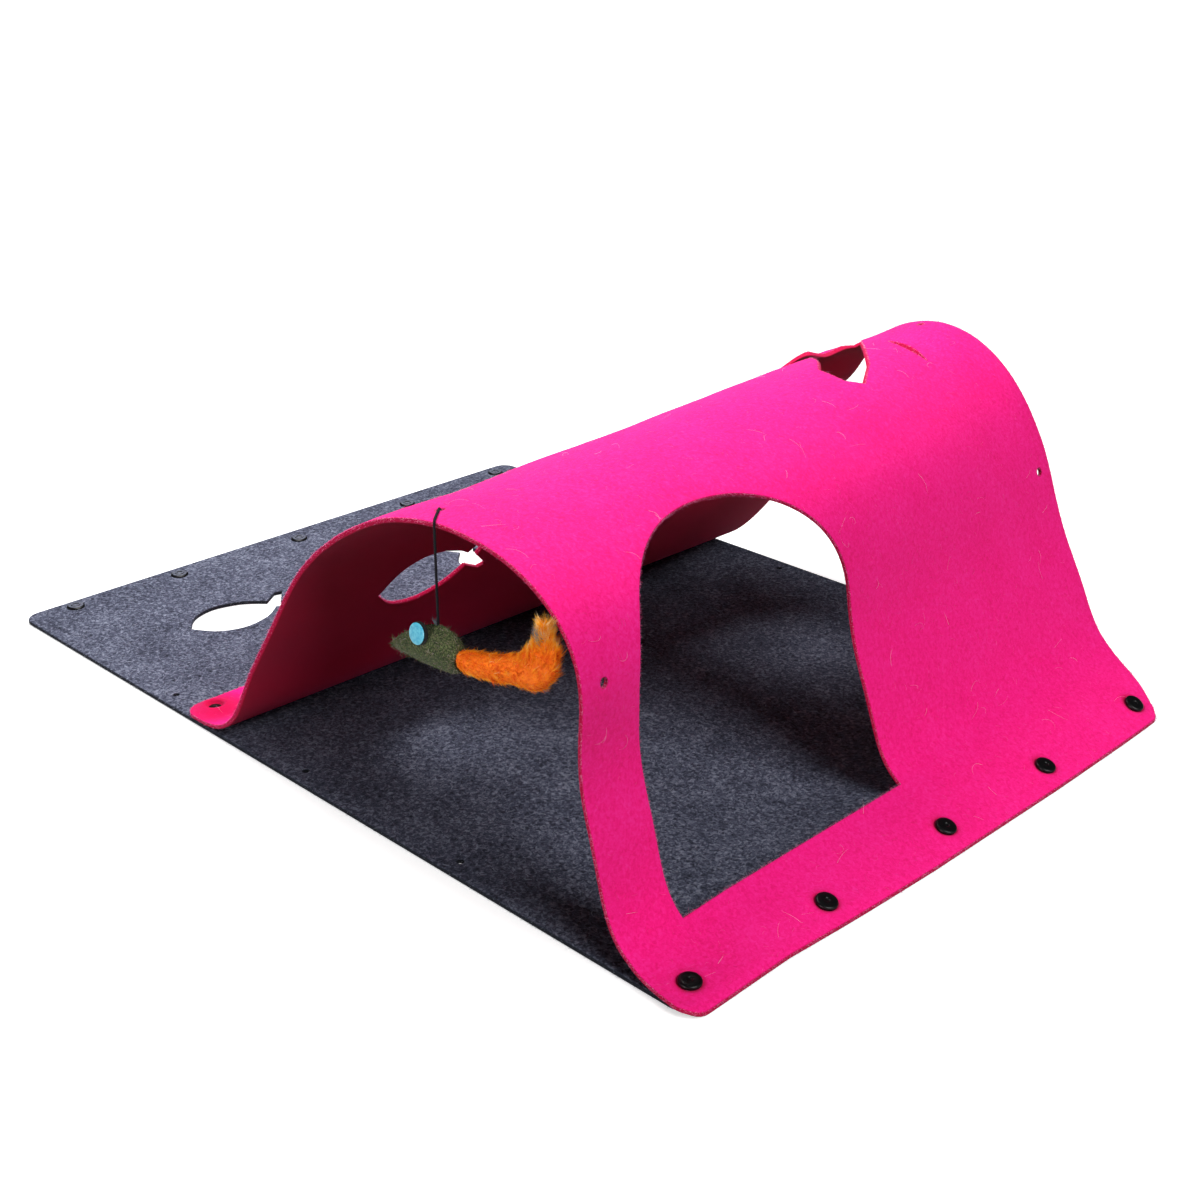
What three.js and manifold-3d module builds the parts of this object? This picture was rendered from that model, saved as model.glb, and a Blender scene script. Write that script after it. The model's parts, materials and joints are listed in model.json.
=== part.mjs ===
// Cat play tunnel of two felts: a flat mat, and a longer sheet snapped to it in an arch.
// A small stuffed toy hangs on a string in the open end.
// Millimetres, +Z up, X across the tunnel, Y along it, the end with the toy at -Y.
import * as THREE from 'three';
import { mergeVertices } from 'three/addons/utils/BufferGeometryUtils.js';
import Module from 'manifold-3d';

const wasm = await Module();
wasm.setup();

// Felts
const MAT_WIDTH = 900;
const DEPTH = 645;
const FELT = 4;
const CLEAR = 0.3;
const CORNER_RADIUS = 16;
const HEM_FAR_RADIUS = 28;
const FELTS_Y = 10; // the felts sit this far back, so that the toy's reach is counted in the middle

// Arched sheet: its width is the arc between the two snap rows and a flat margin outside each
const SNAP_INSET = 18.5;
const SNAP_SPAN = 891;
const SHEET_WIDTH = SNAP_SPAN + 2 * SNAP_INSET;
const FOOT_ROW_X = -142.6;
const HEM_ROW_X = MAT_WIDTH / 2 - SNAP_INSET;
const SHEET_MID_Z = FELT + CLEAR + FELT / 2;
const SHEET_STATIONS = 62;
const SHEET_ROWS = 8;
const CUTTER_DEPTH = 24;
const CUT_BEYOND = 5; // how far a cutter runs past the sheet's edge
const CORNER_STEPS = 6;

// Slope of the sheet in degrees at even steps of arc, from the foot's snap row to the hem's
const SLOPES = [
  { near: 0, far: 0 },
  { near: 53, far: 38 },
  { near: 55.4, far: 54.4 },
  { near: 56.3, far: 76.5 },
  { near: 41.7, far: 64.9 },
  { near: 29.2, far: 31.1 },
  { near: 9.7, far: 9.1 },
  { near: -9.9, far: -29.3 },
  { near: -44.5, far: -55.5 },
  { near: -92.2, far: -69.6 },
  { near: -74.9, far: -61.4 },
  { near: -66.5, far: -57.7 },
  { near: 0, far: 0 },
];

// How far the ridge sags below the straight line between its two ends, by share of the depth
const SAGS = [
  { share: 0, sag: 0 },
  { share: 0.2, sag: 4.5 },
  { share: 0.45, sag: 6.5 },
  { share: 0.75, sag: 8 },
  { share: 0.9, sag: 9.5 },
  { share: 1, sag: 3 },
];

// Snap fasteners, five in each row; the two rows at the edges were set a little unevenly
const SNAP_PITCH = 146.5;
const SNAP_ROW_Y = -8;
const SNAP_COUNT = 5;
const HEM_SNAPS = [
  { x: 430, y: -299.5 },
  { x: 433.5, y: -158 },
  { x: 434, y: -9.5 },
  { x: 435.5, y: 130 },
  { x: 431, y: 283 },
];
const EDGE_STUDS = [
  { x: -435, y: -272 },
  { x: -431.5, y: -153 },
  { x: -425, y: -4.5 },
  { x: -424, y: 147.5 },
  { x: -431, y: 290 },
];
const SNAP_RADIUS = 8.75;
const SNAP_SIDES = 16;
const POST_RADIUS = 3;
const POST_HOLE_RADIUS = 3.35;
const HEM_CAP = { radius: SNAP_RADIUS, rim: 1, height: 3.2 };
const FOOT_CAP = { radius: 6.5, rim: 0.8, height: 2.6 };
const SLOPE_CLEAR = 0.1; // the sheet begins to rise under the inner side of a cap
const STUD_COLLAR = 1.6;
const STUD_HEIGHT = 3.9;
const STUD_TOP_RADIUS = 5.2;
const CAP_SHOULDER = { inset: 1, share: 0.6 };
const CAP_CROWN = { inset: 4.2, share: 0.92 };
const STUD_CHAMFER = { collarInset: 1.2, collarDrop: 0.6, topInset: 0.8, topDrop: 0.5 };

// Round punched holes along both ends of each felt
const PUNCH_SIDES = 12;
const SHEET_PUNCH_RADIUS = 3.75;
const SHEET_PUNCHES = [
  { arc: 446, y: -300 },
  { arc: 646, y: -300 },
  { arc: 452, y: 311 },
  { arc: 646, y: 303 },
];
const MAT_PUNCH = { radius: 3, y: 307, xs: [-197, 0, 197] };

// Small fish, one die for the sheet and the mat: distances from the nose and half widths
const FISH = {
  body: [
    { along: 0, half: 0 },
    { along: 15, half: 20 },
    { along: 32, half: 29 },
    { along: 48, half: 31 },
    { along: 68, half: 26 },
    { along: 80, half: 19 },
    { along: 92, half: 8.5 },
  ],
  tail: [
    { along: 109, half: 21.5 },
    { along: 117, half: 20 },
    { along: 103, half: 0 },
  ],
};
const FISH_FLANK_STEPS = 18;
const WALL_FISH = { x: 198.5, y: -217, heading: 81.2 };
const MAT_FISHES = [
  { x: -308.5, y: -219, heading: 87 },
  { x: -179, y: 96.6, heading: 175 },
];

// Large fish across the ridge: a long body and a broad blunt tail, across counted to -Y
const RIDGE_FISH = { x: 258, y: 100, heading: 39.7 };
const RIDGE_FISH_BODY = [
  { along: 0, half: 0 },
  { along: 25, half: 22 },
  { along: 60, half: 33 },
  { along: 100, half: 36 },
  { along: 140, half: 28 },
  { along: 164, half: 18 },
  { along: 175, half: 8 },
];
const RIDGE_FISH_TAIL = [
  { along: 181, across: 45 },
  { along: 180, across: 91 },
  { along: 191, across: 107 },
  { along: 201, across: 118 },
  { along: 220, across: 117 },
  { along: 227, across: 73 },
  { along: 228, across: 0 },
  { along: 228, across: -66 },
  { along: 219, across: -72 },
  { along: 199, across: -50 },
];
const RIDGE_FISH_FLANK_STEPS = 22;

// Small curved slit beside the large fish
const SLIT = { fromArc: 447, fromY: 263, toArc: 504, toY: 246, width: 4.5, steps: 8 };

// Doorway in the right wall, on the sheet laid flat: a straight sill and an elliptical head
const DOOR = { sillArc: 844, springArc: 668, midY: -136, halfWidth: 128, rise: 120, headSteps: 22 };

// String: from a knot under the punched hole at the front, over the rim and down to the toy
const STRING_RADIUS = 1.1;
const STRING_STEPS = 76;
const STRING_SIDES = 8;
const KNOT_RADIUS = 5;
const KNOT_HALF_HEIGHT = 3;
const STRING_ROUTE = [
  [179.8, -299.4, 278.8],
  [179.8, -299.4, 280.4],
  [179.8, -299.4, 282],
  [180.1, -299.7, 284],
  [180.8, -300.4, 285.7],
  [182, -301.7, 286.8],
  [183.4, -303.1, 287.2],
  [185.6, -305.4, 287.4],
  [188.7, -308.7, 287.9],
  [192.5, -312.7, 288.4],
  [195.9, -316.3, 288.9],
  [198.7, -319.2, 289.3],
  [200.9, -321.5, 289.4],
  [202.3, -323, 289],
  [203.5, -324.2, 287.9],
  [204.2, -325, 286.2],
  [204.5, -325.3, 284.2],
  [204.5, -325.3, 278],
  [204.5, -325.3, 266],
  [204.5, -325.3, 254],
  [204.5, -325.3, 242],
  [204.5, -325.3, 230],
  [204.5, -325.3, 220],
  [204.5, -325.3, 211.3],
];

// Toy: sections of its stuffed body from nose to rump, and of its fur tail along a bent line
const TOY_Y = -325.3;
const TOY_BODY = [
  { x: 152, low: 177.6, high: 181, half: 1.5 },
  { x: 158, low: 176.6, high: 187, half: 4 },
  { x: 168, low: 176.2, high: 194, half: 7 },
  { x: 180, low: 176, high: 201, half: 9.2 },
  { x: 192, low: 176.4, high: 206.6, half: 10.4 },
  { x: 204.5, low: 177.2, high: 210.8, half: 10.8 },
  { x: 214, low: 178, high: 211.2, half: 10.2 },
  { x: 222, low: 179.6, high: 208.2, half: 8.8 },
  { x: 227.5, low: 182, high: 202.6, half: 6.2 },
];
const TOY_TAIL = [
  { x: 228.7, z: 192.4, half: 7.6, depth: 6.2 },
  { x: 240, z: 193.8, half: 10, depth: 8.4 },
  { x: 256, z: 196.4, half: 10.4, depth: 9 },
  { x: 272, z: 200.4, half: 11.4, depth: 9.4 },
  { x: 288, z: 205.4, half: 13, depth: 10 },
  { x: 301.6, z: 210, half: 18, depth: 10 },
  { x: 311.4, z: 219, half: 17.6, depth: 9.6 },
  { x: 315.4, z: 231, half: 13.2, depth: 8.6 },
  { x: 315.6, z: 242, half: 8, depth: 6.4 },
  { x: 314.6, z: 251.4, half: 2.6, depth: 2.4 },
];
const TOY_SIDES = 14;
const EYE = { radius: 8.6, backing: 3, disc: 1.2, discRadius: 8 };
const EYES = [
  { name: 'front', side: -1, x: 195.6, z: 205, tilt: 10.5, off: 8.7 },
  { name: 'back', side: 1, x: 194, z: 191, tilt: 0, off: 10.5 },
];
const EYE_SIDES = 24;

const pinkFelt = new THREE.MeshStandardMaterial({ color: 0xf5208c, roughness: 0.95, metalness: 0 });
const greyFelt = new THREE.MeshStandardMaterial({ color: 0x5b6170, roughness: 0.95, metalness: 0 });
const blackPlastic = new THREE.MeshStandardMaterial({ color: 0x101012, roughness: 0.25, metalness: 0 });
const darkString = new THREE.MeshStandardMaterial({ color: 0x17141c, roughness: 0.8, metalness: 0 });
const greenFelt = new THREE.MeshStandardMaterial({ color: 0x5a6636, roughness: 0.95, metalness: 0 });
const orangeFur = new THREE.MeshStandardMaterial({ color: 0xf47a10, roughness: 0.9, metalness: 0 });
const blackFoam = new THREE.MeshStandardMaterial({ color: 0x0c0c0e, roughness: 0.8, metalness: 0 });
const cyanFoil = new THREE.MeshStandardMaterial({ color: 0x52c8ea, roughness: 0.35, metalness: 0.1 });

// Slopes of a smooth curve through evenly spaced values that starts and ends level
function smoothSlopes(values) {
  const slopes = values.map(() => 0);
  for (let pass = 0; pass < 60; pass += 1) {
    for (let i = 1; i < values.length - 1; i += 1) {
      slopes[i] = (3 * (values[i + 1] - values[i - 1]) - slopes[i - 1] - slopes[i + 1]) / 4;
    }
  }
  return slopes;
}

function smoothValue(values, slopes, position) {
  const index = Math.min(Math.max(Math.floor(position), 0), values.length - 2);
  const t = position - index;
  const start = (1 + 2 * t) * (1 - t) ** 2;
  const end = t * t * (3 - 2 * t);
  const startSlope = t * (1 - t) ** 2;
  const endSlope = t * t * (t - 1);
  return (
    start * values[index] +
    end * values[index + 1] +
    startSlope * slopes[index] +
    endSlope * slopes[index + 1]
  );
}

// One end's arch: walks along the arc in 1 mm steps, then closes the small error at the hem
function archProfile(end) {
  const values = SLOPES.map((row) => THREE.MathUtils.degToRad(row[end]));
  const slopes = smoothSlopes(values);
  const stations = [];
  let x = FOOT_ROW_X;
  let z = SHEET_MID_Z;
  for (let arc = 0; arc <= SNAP_SPAN; arc += 1) {
    const angle = smoothValue(values, slopes, (arc / SNAP_SPAN) * (values.length - 1));
    stations.push({ x, z, angle });
    x += Math.cos(angle);
    z += Math.sin(angle);
  }
  const last = stations[SNAP_SPAN];
  const missX = HEM_ROW_X - last.x;
  const missZ = SHEET_MID_Z - last.z;
  stations.forEach((station, arc) => {
    station.x += (missX * arc) / SNAP_SPAN;
    station.z += (missZ * arc) / SNAP_SPAN;
  });
  return stations;
}

const NEAR_ARCH = archProfile('near');
const FAR_ARCH = archProfile('far');

function profileAt(stations, arc) {
  const inside = Math.min(Math.max(arc, 0), SNAP_SPAN);
  const index = Math.min(Math.floor(inside), SNAP_SPAN - 1);
  const from = stations[index];
  const to = stations[index + 1];
  const t = inside - index;
  return {
    x: THREE.MathUtils.lerp(from.x, to.x, t) + (arc - inside),
    z: THREE.MathUtils.lerp(from.z, to.z, t),
    angle: THREE.MathUtils.lerp(from.angle, to.angle, t),
  };
}

function sagAt(share) {
  const inside = THREE.MathUtils.clamp(share, 0, 1);
  const index = Math.max(SAGS.findLastIndex((row) => row.share < inside), 0);
  const from = SAGS[index];
  const to = SAGS[index + 1];
  const t = (inside - from.share) / (to.share - from.share);
  return THREE.MathUtils.lerp(from.sag, to.sag, THREE.MathUtils.smoothstep(t, 0, 1));
}

// Where a point of the flat sheet lies in the arch: arc from the foot's snap row, y along the
// tunnel, and a height off the sheet's middle towards its outer face
function archPoint(arc, y, off) {
  const share = y / DEPTH + 0.5;
  const near = profileAt(NEAR_ARCH, arc);
  const far = profileAt(FAR_ARCH, arc);
  const angle = THREE.MathUtils.lerp(near.angle, far.angle, share);
  const inside = THREE.MathUtils.clamp(arc / SNAP_SPAN, 0, 1);
  const sag = sagAt(share) * Math.sin(Math.PI * inside) ** 2;
  return new THREE.Vector3(
    THREE.MathUtils.lerp(near.x, far.x, share) - off * Math.sin(angle),
    y,
    THREE.MathUtils.lerp(near.z, far.z, share) - sag + off * Math.cos(angle),
  );
}

function toSolid(geometry) {
  const bare = geometry.clone();
  bare.deleteAttribute('normal');
  bare.deleteAttribute('uv');
  const merged = mergeVertices(bare, 1e-4);
  return new wasm.Manifold(
    new wasm.Mesh({
      numProp: 3,
      vertProperties: new Float32Array(merged.attributes.position.array),
      triVerts: new Uint32Array(merged.index.array),
    }),
  );
}

function toGeometry(solid) {
  const mesh = solid.getMesh();
  const geometry = new THREE.BufferGeometry();
  geometry.setAttribute('position', new THREE.BufferAttribute(new Float32Array(mesh.vertProperties), 3));
  geometry.setIndex(new THREE.BufferAttribute(new Uint32Array(mesh.triVerts), 1));
  geometry.computeVertexNormals();
  return geometry;
}

// Splits a convex polygon along one line of constant x
function splitPolygon(polygon, station) {
  if (polygon.every((point) => point.x <= station) || polygon.every((point) => point.x >= station)) {
    return [polygon];
  }
  const low = [];
  const high = [];
  polygon.forEach((point, index) => {
    const next = polygon[(index + 1) % polygon.length];
    if (point.x <= station) low.push(point);
    if (point.x >= station) high.push(point);
    if ((point.x - station) * (next.x - station) < 0) {
      const meet = point.clone().lerp(next, (station - point.x) / (next.x - point.x));
      meet.x = station;
      low.push(meet);
      high.push(meet);
    }
  });
  return [low, high].filter((piece) => piece.length > 2);
}

// A die through the arched sheet: a flat outline in arc and y, made thick, creased and bent
function bentCutter(outline) {
  const flat = new THREE.ExtrudeGeometry(new THREE.Shape(outline), {
    depth: CUTTER_DEPTH,
    bevelEnabled: false,
    steps: 1,
  });
  flat.translate(0, 0, -CUTTER_DEPTH / 2);
  const position = flat.attributes.position;
  let pieces = [];
  for (let i = 0; i < position.count; i += 3) {
    pieces.push([0, 1, 2].map((corner) => new THREE.Vector3().fromBufferAttribute(position, i + corner)));
  }
  const pitch = SHEET_WIDTH / SHEET_STATIONS;
  for (let i = 1; i < SHEET_STATIONS; i += 1) {
    const station = i * pitch - SNAP_INSET;
    pieces = pieces.flatMap((polygon) => splitPolygon(polygon, station));
  }
  const points = [];
  for (const polygon of pieces) {
    const bent = polygon.map((point) => archPoint(point.x, point.y, point.z));
    for (let i = 1; i < bent.length - 1; i += 1) points.push(bent[0], bent[i], bent[i + 1]);
  }
  return toSolid(new THREE.BufferGeometry().setFromPoints(points));
}

function circle(x, y, radius, sides) {
  return Array.from({ length: sides }, (_, index) => {
    const turn = (index / sides) * 2 * Math.PI;
    return new THREE.Vector2(x + radius * Math.cos(turn), y + radius * Math.sin(turn));
  });
}

// Turns points given from the nose, along and across the fish, to where the fish lies
function laid(points, place) {
  const turn = THREE.MathUtils.degToRad(place.heading);
  const along = new THREE.Vector2(Math.cos(turn), Math.sin(turn));
  const across = new THREE.Vector2(Math.sin(turn), -Math.cos(turn));
  return points.map((point) =>
    new THREE.Vector2(place.x, place.y)
      .addScaledVector(along, point.x)
      .addScaledVector(across, point.y),
  );
}

// The smooth flank of a fish's body from the nose to the waist
function flank(body, steps) {
  const knots = body.map((row) => new THREE.Vector2(row.along, row.half));
  return new THREE.SplineCurve(knots).getPoints(steps);
}

function smallFish(place) {
  const side = flank(FISH.body, FISH_FLANK_STEPS);
  FISH.tail.forEach((row) => side.push(new THREE.Vector2(row.along, row.half)));
  const mirrored = side.slice(1, -1).map((point) => new THREE.Vector2(point.x, -point.y));
  return laid([...side, ...mirrored.reverse()], place);
}

function ridgeFish() {
  const side = flank(RIDGE_FISH_BODY, RIDGE_FISH_FLANK_STEPS);
  const tail = RIDGE_FISH_TAIL.map((row) => new THREE.Vector2(row.along, row.across));
  const mirrored = side.slice(1).map((point) => new THREE.Vector2(point.x, -point.y));
  return laid([...side, ...tail, ...mirrored.reverse()], RIDGE_FISH);
}

function slit() {
  const from = new THREE.Vector2(SLIT.fromArc, SLIT.fromY);
  const to = new THREE.Vector2(SLIT.toArc, SLIT.toY);
  const aside = to.clone().sub(from).normalize().rotateAround(new THREE.Vector2(), Math.PI / 2);
  const edge = (sign) =>
    Array.from({ length: SLIT.steps }, (_, index) => {
      const t = index / SLIT.steps;
      const half = (SLIT.width / 2) * Math.sin(Math.PI * t);
      return sign > 0
        ? from.clone().lerp(to, t).addScaledVector(aside, -half)
        : to.clone().lerp(from, t).addScaledVector(aside, half);
    });
  return [...edge(1), ...edge(-1)];
}

function doorway() {
  const points = [new THREE.Vector2(DOOR.sillArc, DOOR.midY - DOOR.halfWidth)];
  points.push(new THREE.Vector2(DOOR.sillArc, DOOR.midY + DOOR.halfWidth));
  for (let i = 0; i <= DOOR.headSteps; i += 1) {
    const turn = (i / DOOR.headSteps) * Math.PI;
    const arc = DOOR.springArc - DOOR.rise * Math.sin(turn);
    points.push(new THREE.Vector2(arc, DOOR.midY + DOOR.halfWidth * Math.cos(turn)));
  }
  return points;
}

// What is cut away outside a rounded corner at (x, y), with the felt towards (-sideX, -sideY)
function cornerWaste(x, y, sideX, sideY, radius) {
  const points = [];
  for (let i = 0; i <= CORNER_STEPS; i += 1) {
    const turn = (i / CORNER_STEPS) * (Math.PI / 2);
    points.push(
      new THREE.Vector2(
        x - sideX * radius * (1 - Math.cos(turn)),
        y - sideY * radius * (1 - Math.sin(turn)),
      ),
    );
  }
  points.push(new THREE.Vector2(x - sideX * radius, y + sideY * CUT_BEYOND));
  points.push(new THREE.Vector2(x + sideX * CUT_BEYOND, y + sideY * CUT_BEYOND));
  points.push(new THREE.Vector2(x + sideX * CUT_BEYOND, y - sideY * radius));
  return points;
}

function footSnaps() {
  const middle = (SNAP_COUNT - 1) / 2;
  return Array.from({ length: SNAP_COUNT }, (_, index) => ({
    x: FOOT_ROW_X,
    y: SNAP_ROW_Y + (index - middle) * SNAP_PITCH,
  }));
}

// The arched sheet: a flat felt bent as a fine grid, with everything the die cuts taken out
function archedSheet() {
  const felt = new THREE.BoxGeometry(SHEET_WIDTH, DEPTH, FELT, SHEET_STATIONS, SHEET_ROWS, 1);
  const position = felt.attributes.position;
  for (let i = 0; i < position.count; i += 1) {
    const flat = new THREE.Vector3().fromBufferAttribute(position, i);
    const bent = archPoint(flat.x + SNAP_SPAN / 2, flat.y, flat.z);
    position.setXYZ(i, bent.x, bent.y, bent.z);
  }
  const outlines = [doorway(), smallFish(WALL_FISH), ridgeFish(), slit()];
  for (const { arc, y } of SHEET_PUNCHES) {
    outlines.push(circle(arc, y, SHEET_PUNCH_RADIUS, PUNCH_SIDES));
  }
  for (const side of [-1, 1]) {
    const hemRadius = side > 0 ? HEM_FAR_RADIUS : CORNER_RADIUS;
    outlines.push(cornerWaste(-SNAP_INSET, (side * DEPTH) / 2, -1, side, CORNER_RADIUS));
    outlines.push(cornerWaste(SNAP_SPAN + SNAP_INSET, (side * DEPTH) / 2, 1, side, hemRadius));
  }
  for (const { y } of footSnaps()) outlines.push(circle(0, y, POST_HOLE_RADIUS, SNAP_SIDES));
  for (const { x, y } of HEM_SNAPS) {
    outlines.push(circle(SNAP_SPAN + x - HEM_ROW_X, y, POST_HOLE_RADIUS, SNAP_SIDES));
  }
  let solid = toSolid(felt);
  for (const outline of outlines) solid = solid.subtract(bentCutter(outline));
  return toGeometry(solid);
}

function matOutline() {
  const points = [];
  const corners = [
    { x: 1, y: 1, turn: 0, radius: HEM_FAR_RADIUS },
    { x: -1, y: 1, turn: 1, radius: CORNER_RADIUS },
    { x: -1, y: -1, turn: 2, radius: CORNER_RADIUS },
    { x: 1, y: -1, turn: 3, radius: CORNER_RADIUS },
  ];
  for (const corner of corners) {
    const radius = corner.radius;
    const centreX = corner.x * (MAT_WIDTH / 2 - radius);
    const centreY = corner.y * (DEPTH / 2 - radius);
    for (let i = 0; i <= CORNER_STEPS; i += 1) {
      const turn = (corner.turn + i / CORNER_STEPS) * (Math.PI / 2);
      points.push(new THREE.Vector2(centreX + radius * Math.cos(turn), centreY + radius * Math.sin(turn)));
    }
  }
  return points;
}

function baseMat() {
  const shape = new THREE.Shape(matOutline());
  for (const place of MAT_FISHES) shape.holes.push(new THREE.Path(smallFish(place)));
  for (const x of MAT_PUNCH.xs) {
    for (const side of [-1, 1]) {
      shape.holes.push(new THREE.Path(circle(x, side * MAT_PUNCH.y, MAT_PUNCH.radius, PUNCH_SIDES)));
    }
  }
  for (const { x, y } of [...EDGE_STUDS, ...footSnaps(), ...HEM_SNAPS]) {
    shape.holes.push(new THREE.Path(circle(x, y, POST_HOLE_RADIUS, SNAP_SIDES)));
  }
  return new THREE.ExtrudeGeometry(shape, { depth: FELT, bevelEnabled: false, steps: 1 });
}

function lathe(profile, sides) {
  const points = profile.map((row) => new THREE.Vector2(row.radius, row.height));
  const geometry = new THREE.LatheGeometry(points, sides);
  geometry.rotateX(Math.PI / 2);
  return toGeometry(toSolid(geometry));
}

// A snap through both felts: a low domed cap on the sheet and the post under it
function snapCap(cap) {
  const under = 2 * FELT + 2 * CLEAR + SLOPE_CLEAR;
  return lathe(
    [
      { radius: 0, height: CLEAR },
      { radius: POST_RADIUS, height: CLEAR },
      { radius: POST_RADIUS, height: under },
      { radius: cap.radius, height: under },
      { radius: cap.radius, height: under + cap.rim },
      { radius: cap.radius - CAP_SHOULDER.inset, height: under + CAP_SHOULDER.share * cap.height },
      { radius: cap.radius - CAP_CROWN.inset, height: under + CAP_CROWN.share * cap.height },
      { radius: 0, height: under + cap.height },
    ],
    SNAP_SIDES,
  );
}

// A bare stud at the mat's free edge, with nothing snapped on it
function edgeStud() {
  const under = FELT + CLEAR;
  return lathe(
    [
      { radius: 0, height: CLEAR },
      { radius: POST_RADIUS, height: CLEAR },
      { radius: POST_RADIUS, height: under },
      { radius: SNAP_RADIUS, height: under },
      { radius: SNAP_RADIUS, height: under + STUD_COLLAR - STUD_CHAMFER.collarDrop },
      { radius: SNAP_RADIUS - STUD_CHAMFER.collarInset, height: under + STUD_COLLAR },
      { radius: STUD_TOP_RADIUS, height: under + STUD_COLLAR },
      { radius: STUD_TOP_RADIUS, height: under + STUD_HEIGHT - STUD_CHAMFER.topDrop },
      { radius: STUD_TOP_RADIUS - STUD_CHAMFER.topInset, height: under + STUD_HEIGHT },
      { radius: 0, height: under + STUD_HEIGHT },
    ],
    SNAP_SIDES,
  );
}

function stringTube() {
  const path = new THREE.CatmullRomCurve3(STRING_ROUTE.map((point) => new THREE.Vector3(...point)));
  const section = new THREE.Shape(circle(0, 0, STRING_RADIUS, STRING_SIDES));
  return new THREE.ExtrudeGeometry(section, {
    steps: STRING_STEPS,
    bevelEnabled: false,
    extrudePath: path,
  });
}

// The knot that keeps the string from slipping up through its hole
function stringKnot() {
  const [x, y, z] = STRING_ROUTE[0];
  const knot = new THREE.SphereGeometry(KNOT_RADIUS, 12, 8);
  knot.rotateX(Math.PI / 2);
  knot.scale(1, 1, KNOT_HALF_HEIGHT / KNOT_RADIUS);
  knot.translate(x, y, z - CLEAR - KNOT_HALF_HEIGHT);
  return toGeometry(toSolid(knot));
}

// A closed skin over rings of equally many points, with a point in the middle of each end
function skin(rings) {
  const sides = rings[0].length;
  const points = rings.flat();
  const middle = (ring) =>
    ring.reduce((sum, point) => sum.add(point), new THREE.Vector3()).divideScalar(sides);
  points.push(middle(rings[0]), middle(rings[rings.length - 1]));
  const first = rings.length * sides;
  const index = [];
  for (let side = 0; side < sides; side += 1) {
    const next = (side + 1) % sides;
    index.push(first, side, next);
    for (let ring = 0; ring < rings.length - 1; ring += 1) {
      const a = ring * sides + side;
      const b = ring * sides + next;
      index.push(a, a + sides, b, b, a + sides, b + sides);
    }
    const last = (rings.length - 1) * sides;
    index.push(first + 1, last + next, last + side);
  }
  const geometry = new THREE.BufferGeometry().setFromPoints(points);
  geometry.setIndex(index);
  geometry.computeVertexNormals();
  return geometry;
}

function ovalRing(centre, up, half, depth) {
  return Array.from({ length: TOY_SIDES }, (_, index) => {
    const turn = (index / TOY_SIDES) * 2 * Math.PI;
    const point = centre.clone().addScaledVector(up, half * Math.cos(turn));
    point.y += depth * Math.sin(turn);
    return point;
  });
}

function toyBody() {
  const up = new THREE.Vector3(0, 0, 1);
  return skin(
    TOY_BODY.map((row) => {
      const centre = new THREE.Vector3(row.x, TOY_Y, (row.low + row.high) / 2);
      return ovalRing(centre, up, (row.high - row.low) / 2, row.half);
    }),
  );
}

function toyTail() {
  const line = TOY_TAIL.map((row) => new THREE.Vector3(row.x, TOY_Y, row.z));
  return skin(
    TOY_TAIL.map((row, index) => {
      const before = line[Math.max(index - 1, 0)];
      const after = line[Math.min(index + 1, line.length - 1)];
      const along = after.clone().sub(before).normalize();
      const up = new THREE.Vector3(-along.z, 0, along.x);
      return ovalRing(line[index], up, row.half, row.depth);
    }),
  );
}

// A disc of an eye, its back this far out from the body's side; side -1 faces the front
function eyeDisc(eye, back, thickness, radius) {
  const disc = new THREE.CylinderGeometry(radius, radius, thickness, EYE_SIDES);
  disc.translate(0, back + thickness / 2, 0);
  const tilt = THREE.MathUtils.degToRad(eye.tilt);
  disc.rotateX(eye.side > 0 ? tilt : Math.PI - tilt);
  disc.translate(eye.x, TOY_Y + eye.side * eye.off, eye.z);
  return toGeometry(toSolid(disc));
}

const tunnel = new THREE.Group();
tunnel.position.y = FELTS_Y;

function addPiece(name, geometry, material, x = 0, y = 0) {
  const mesh = new THREE.Mesh(geometry, material);
  mesh.name = name;
  mesh.position.set(x, y, 0);
  tunnel.add(mesh);
}

addPiece('arch_sheet', archedSheet(), pinkFelt);
addPiece('base_mat', baseMat(), greyFelt);
HEM_SNAPS.forEach(({ x, y }, index) => {
  addPiece(`hem_snap_${index + 1}`, snapCap(HEM_CAP), blackPlastic, x, y);
});
footSnaps().forEach(({ x, y }, index) => {
  addPiece(`foot_snap_${index + 1}`, snapCap(FOOT_CAP), blackPlastic, x, y);
});
EDGE_STUDS.forEach(({ x, y }, index) => addPiece(`edge_stud_${index + 1}`, edgeStud(), blackPlastic, x, y));
addPiece('toy_string', stringTube(), darkString);
addPiece('string_knot', stringKnot(), darkString);
addPiece('toy_body', toyBody(), greenFelt);
addPiece('toy_tail', toyTail(), orangeFur);
for (const eye of EYES) {
  const outer = CLEAR + EYE.backing + CLEAR;
  addPiece(`eye_backing_${eye.name}`, eyeDisc(eye, CLEAR, EYE.backing, EYE.radius), blackFoam);
  addPiece(`eye_disc_${eye.name}`, eyeDisc(eye, outer, EYE.disc, EYE.discRadius), cyanFoil);
}

export default tunnel;
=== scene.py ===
import json
import math

import bpy
import numpy as np
from mathutils import Matrix, Vector, geometry, noise

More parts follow.
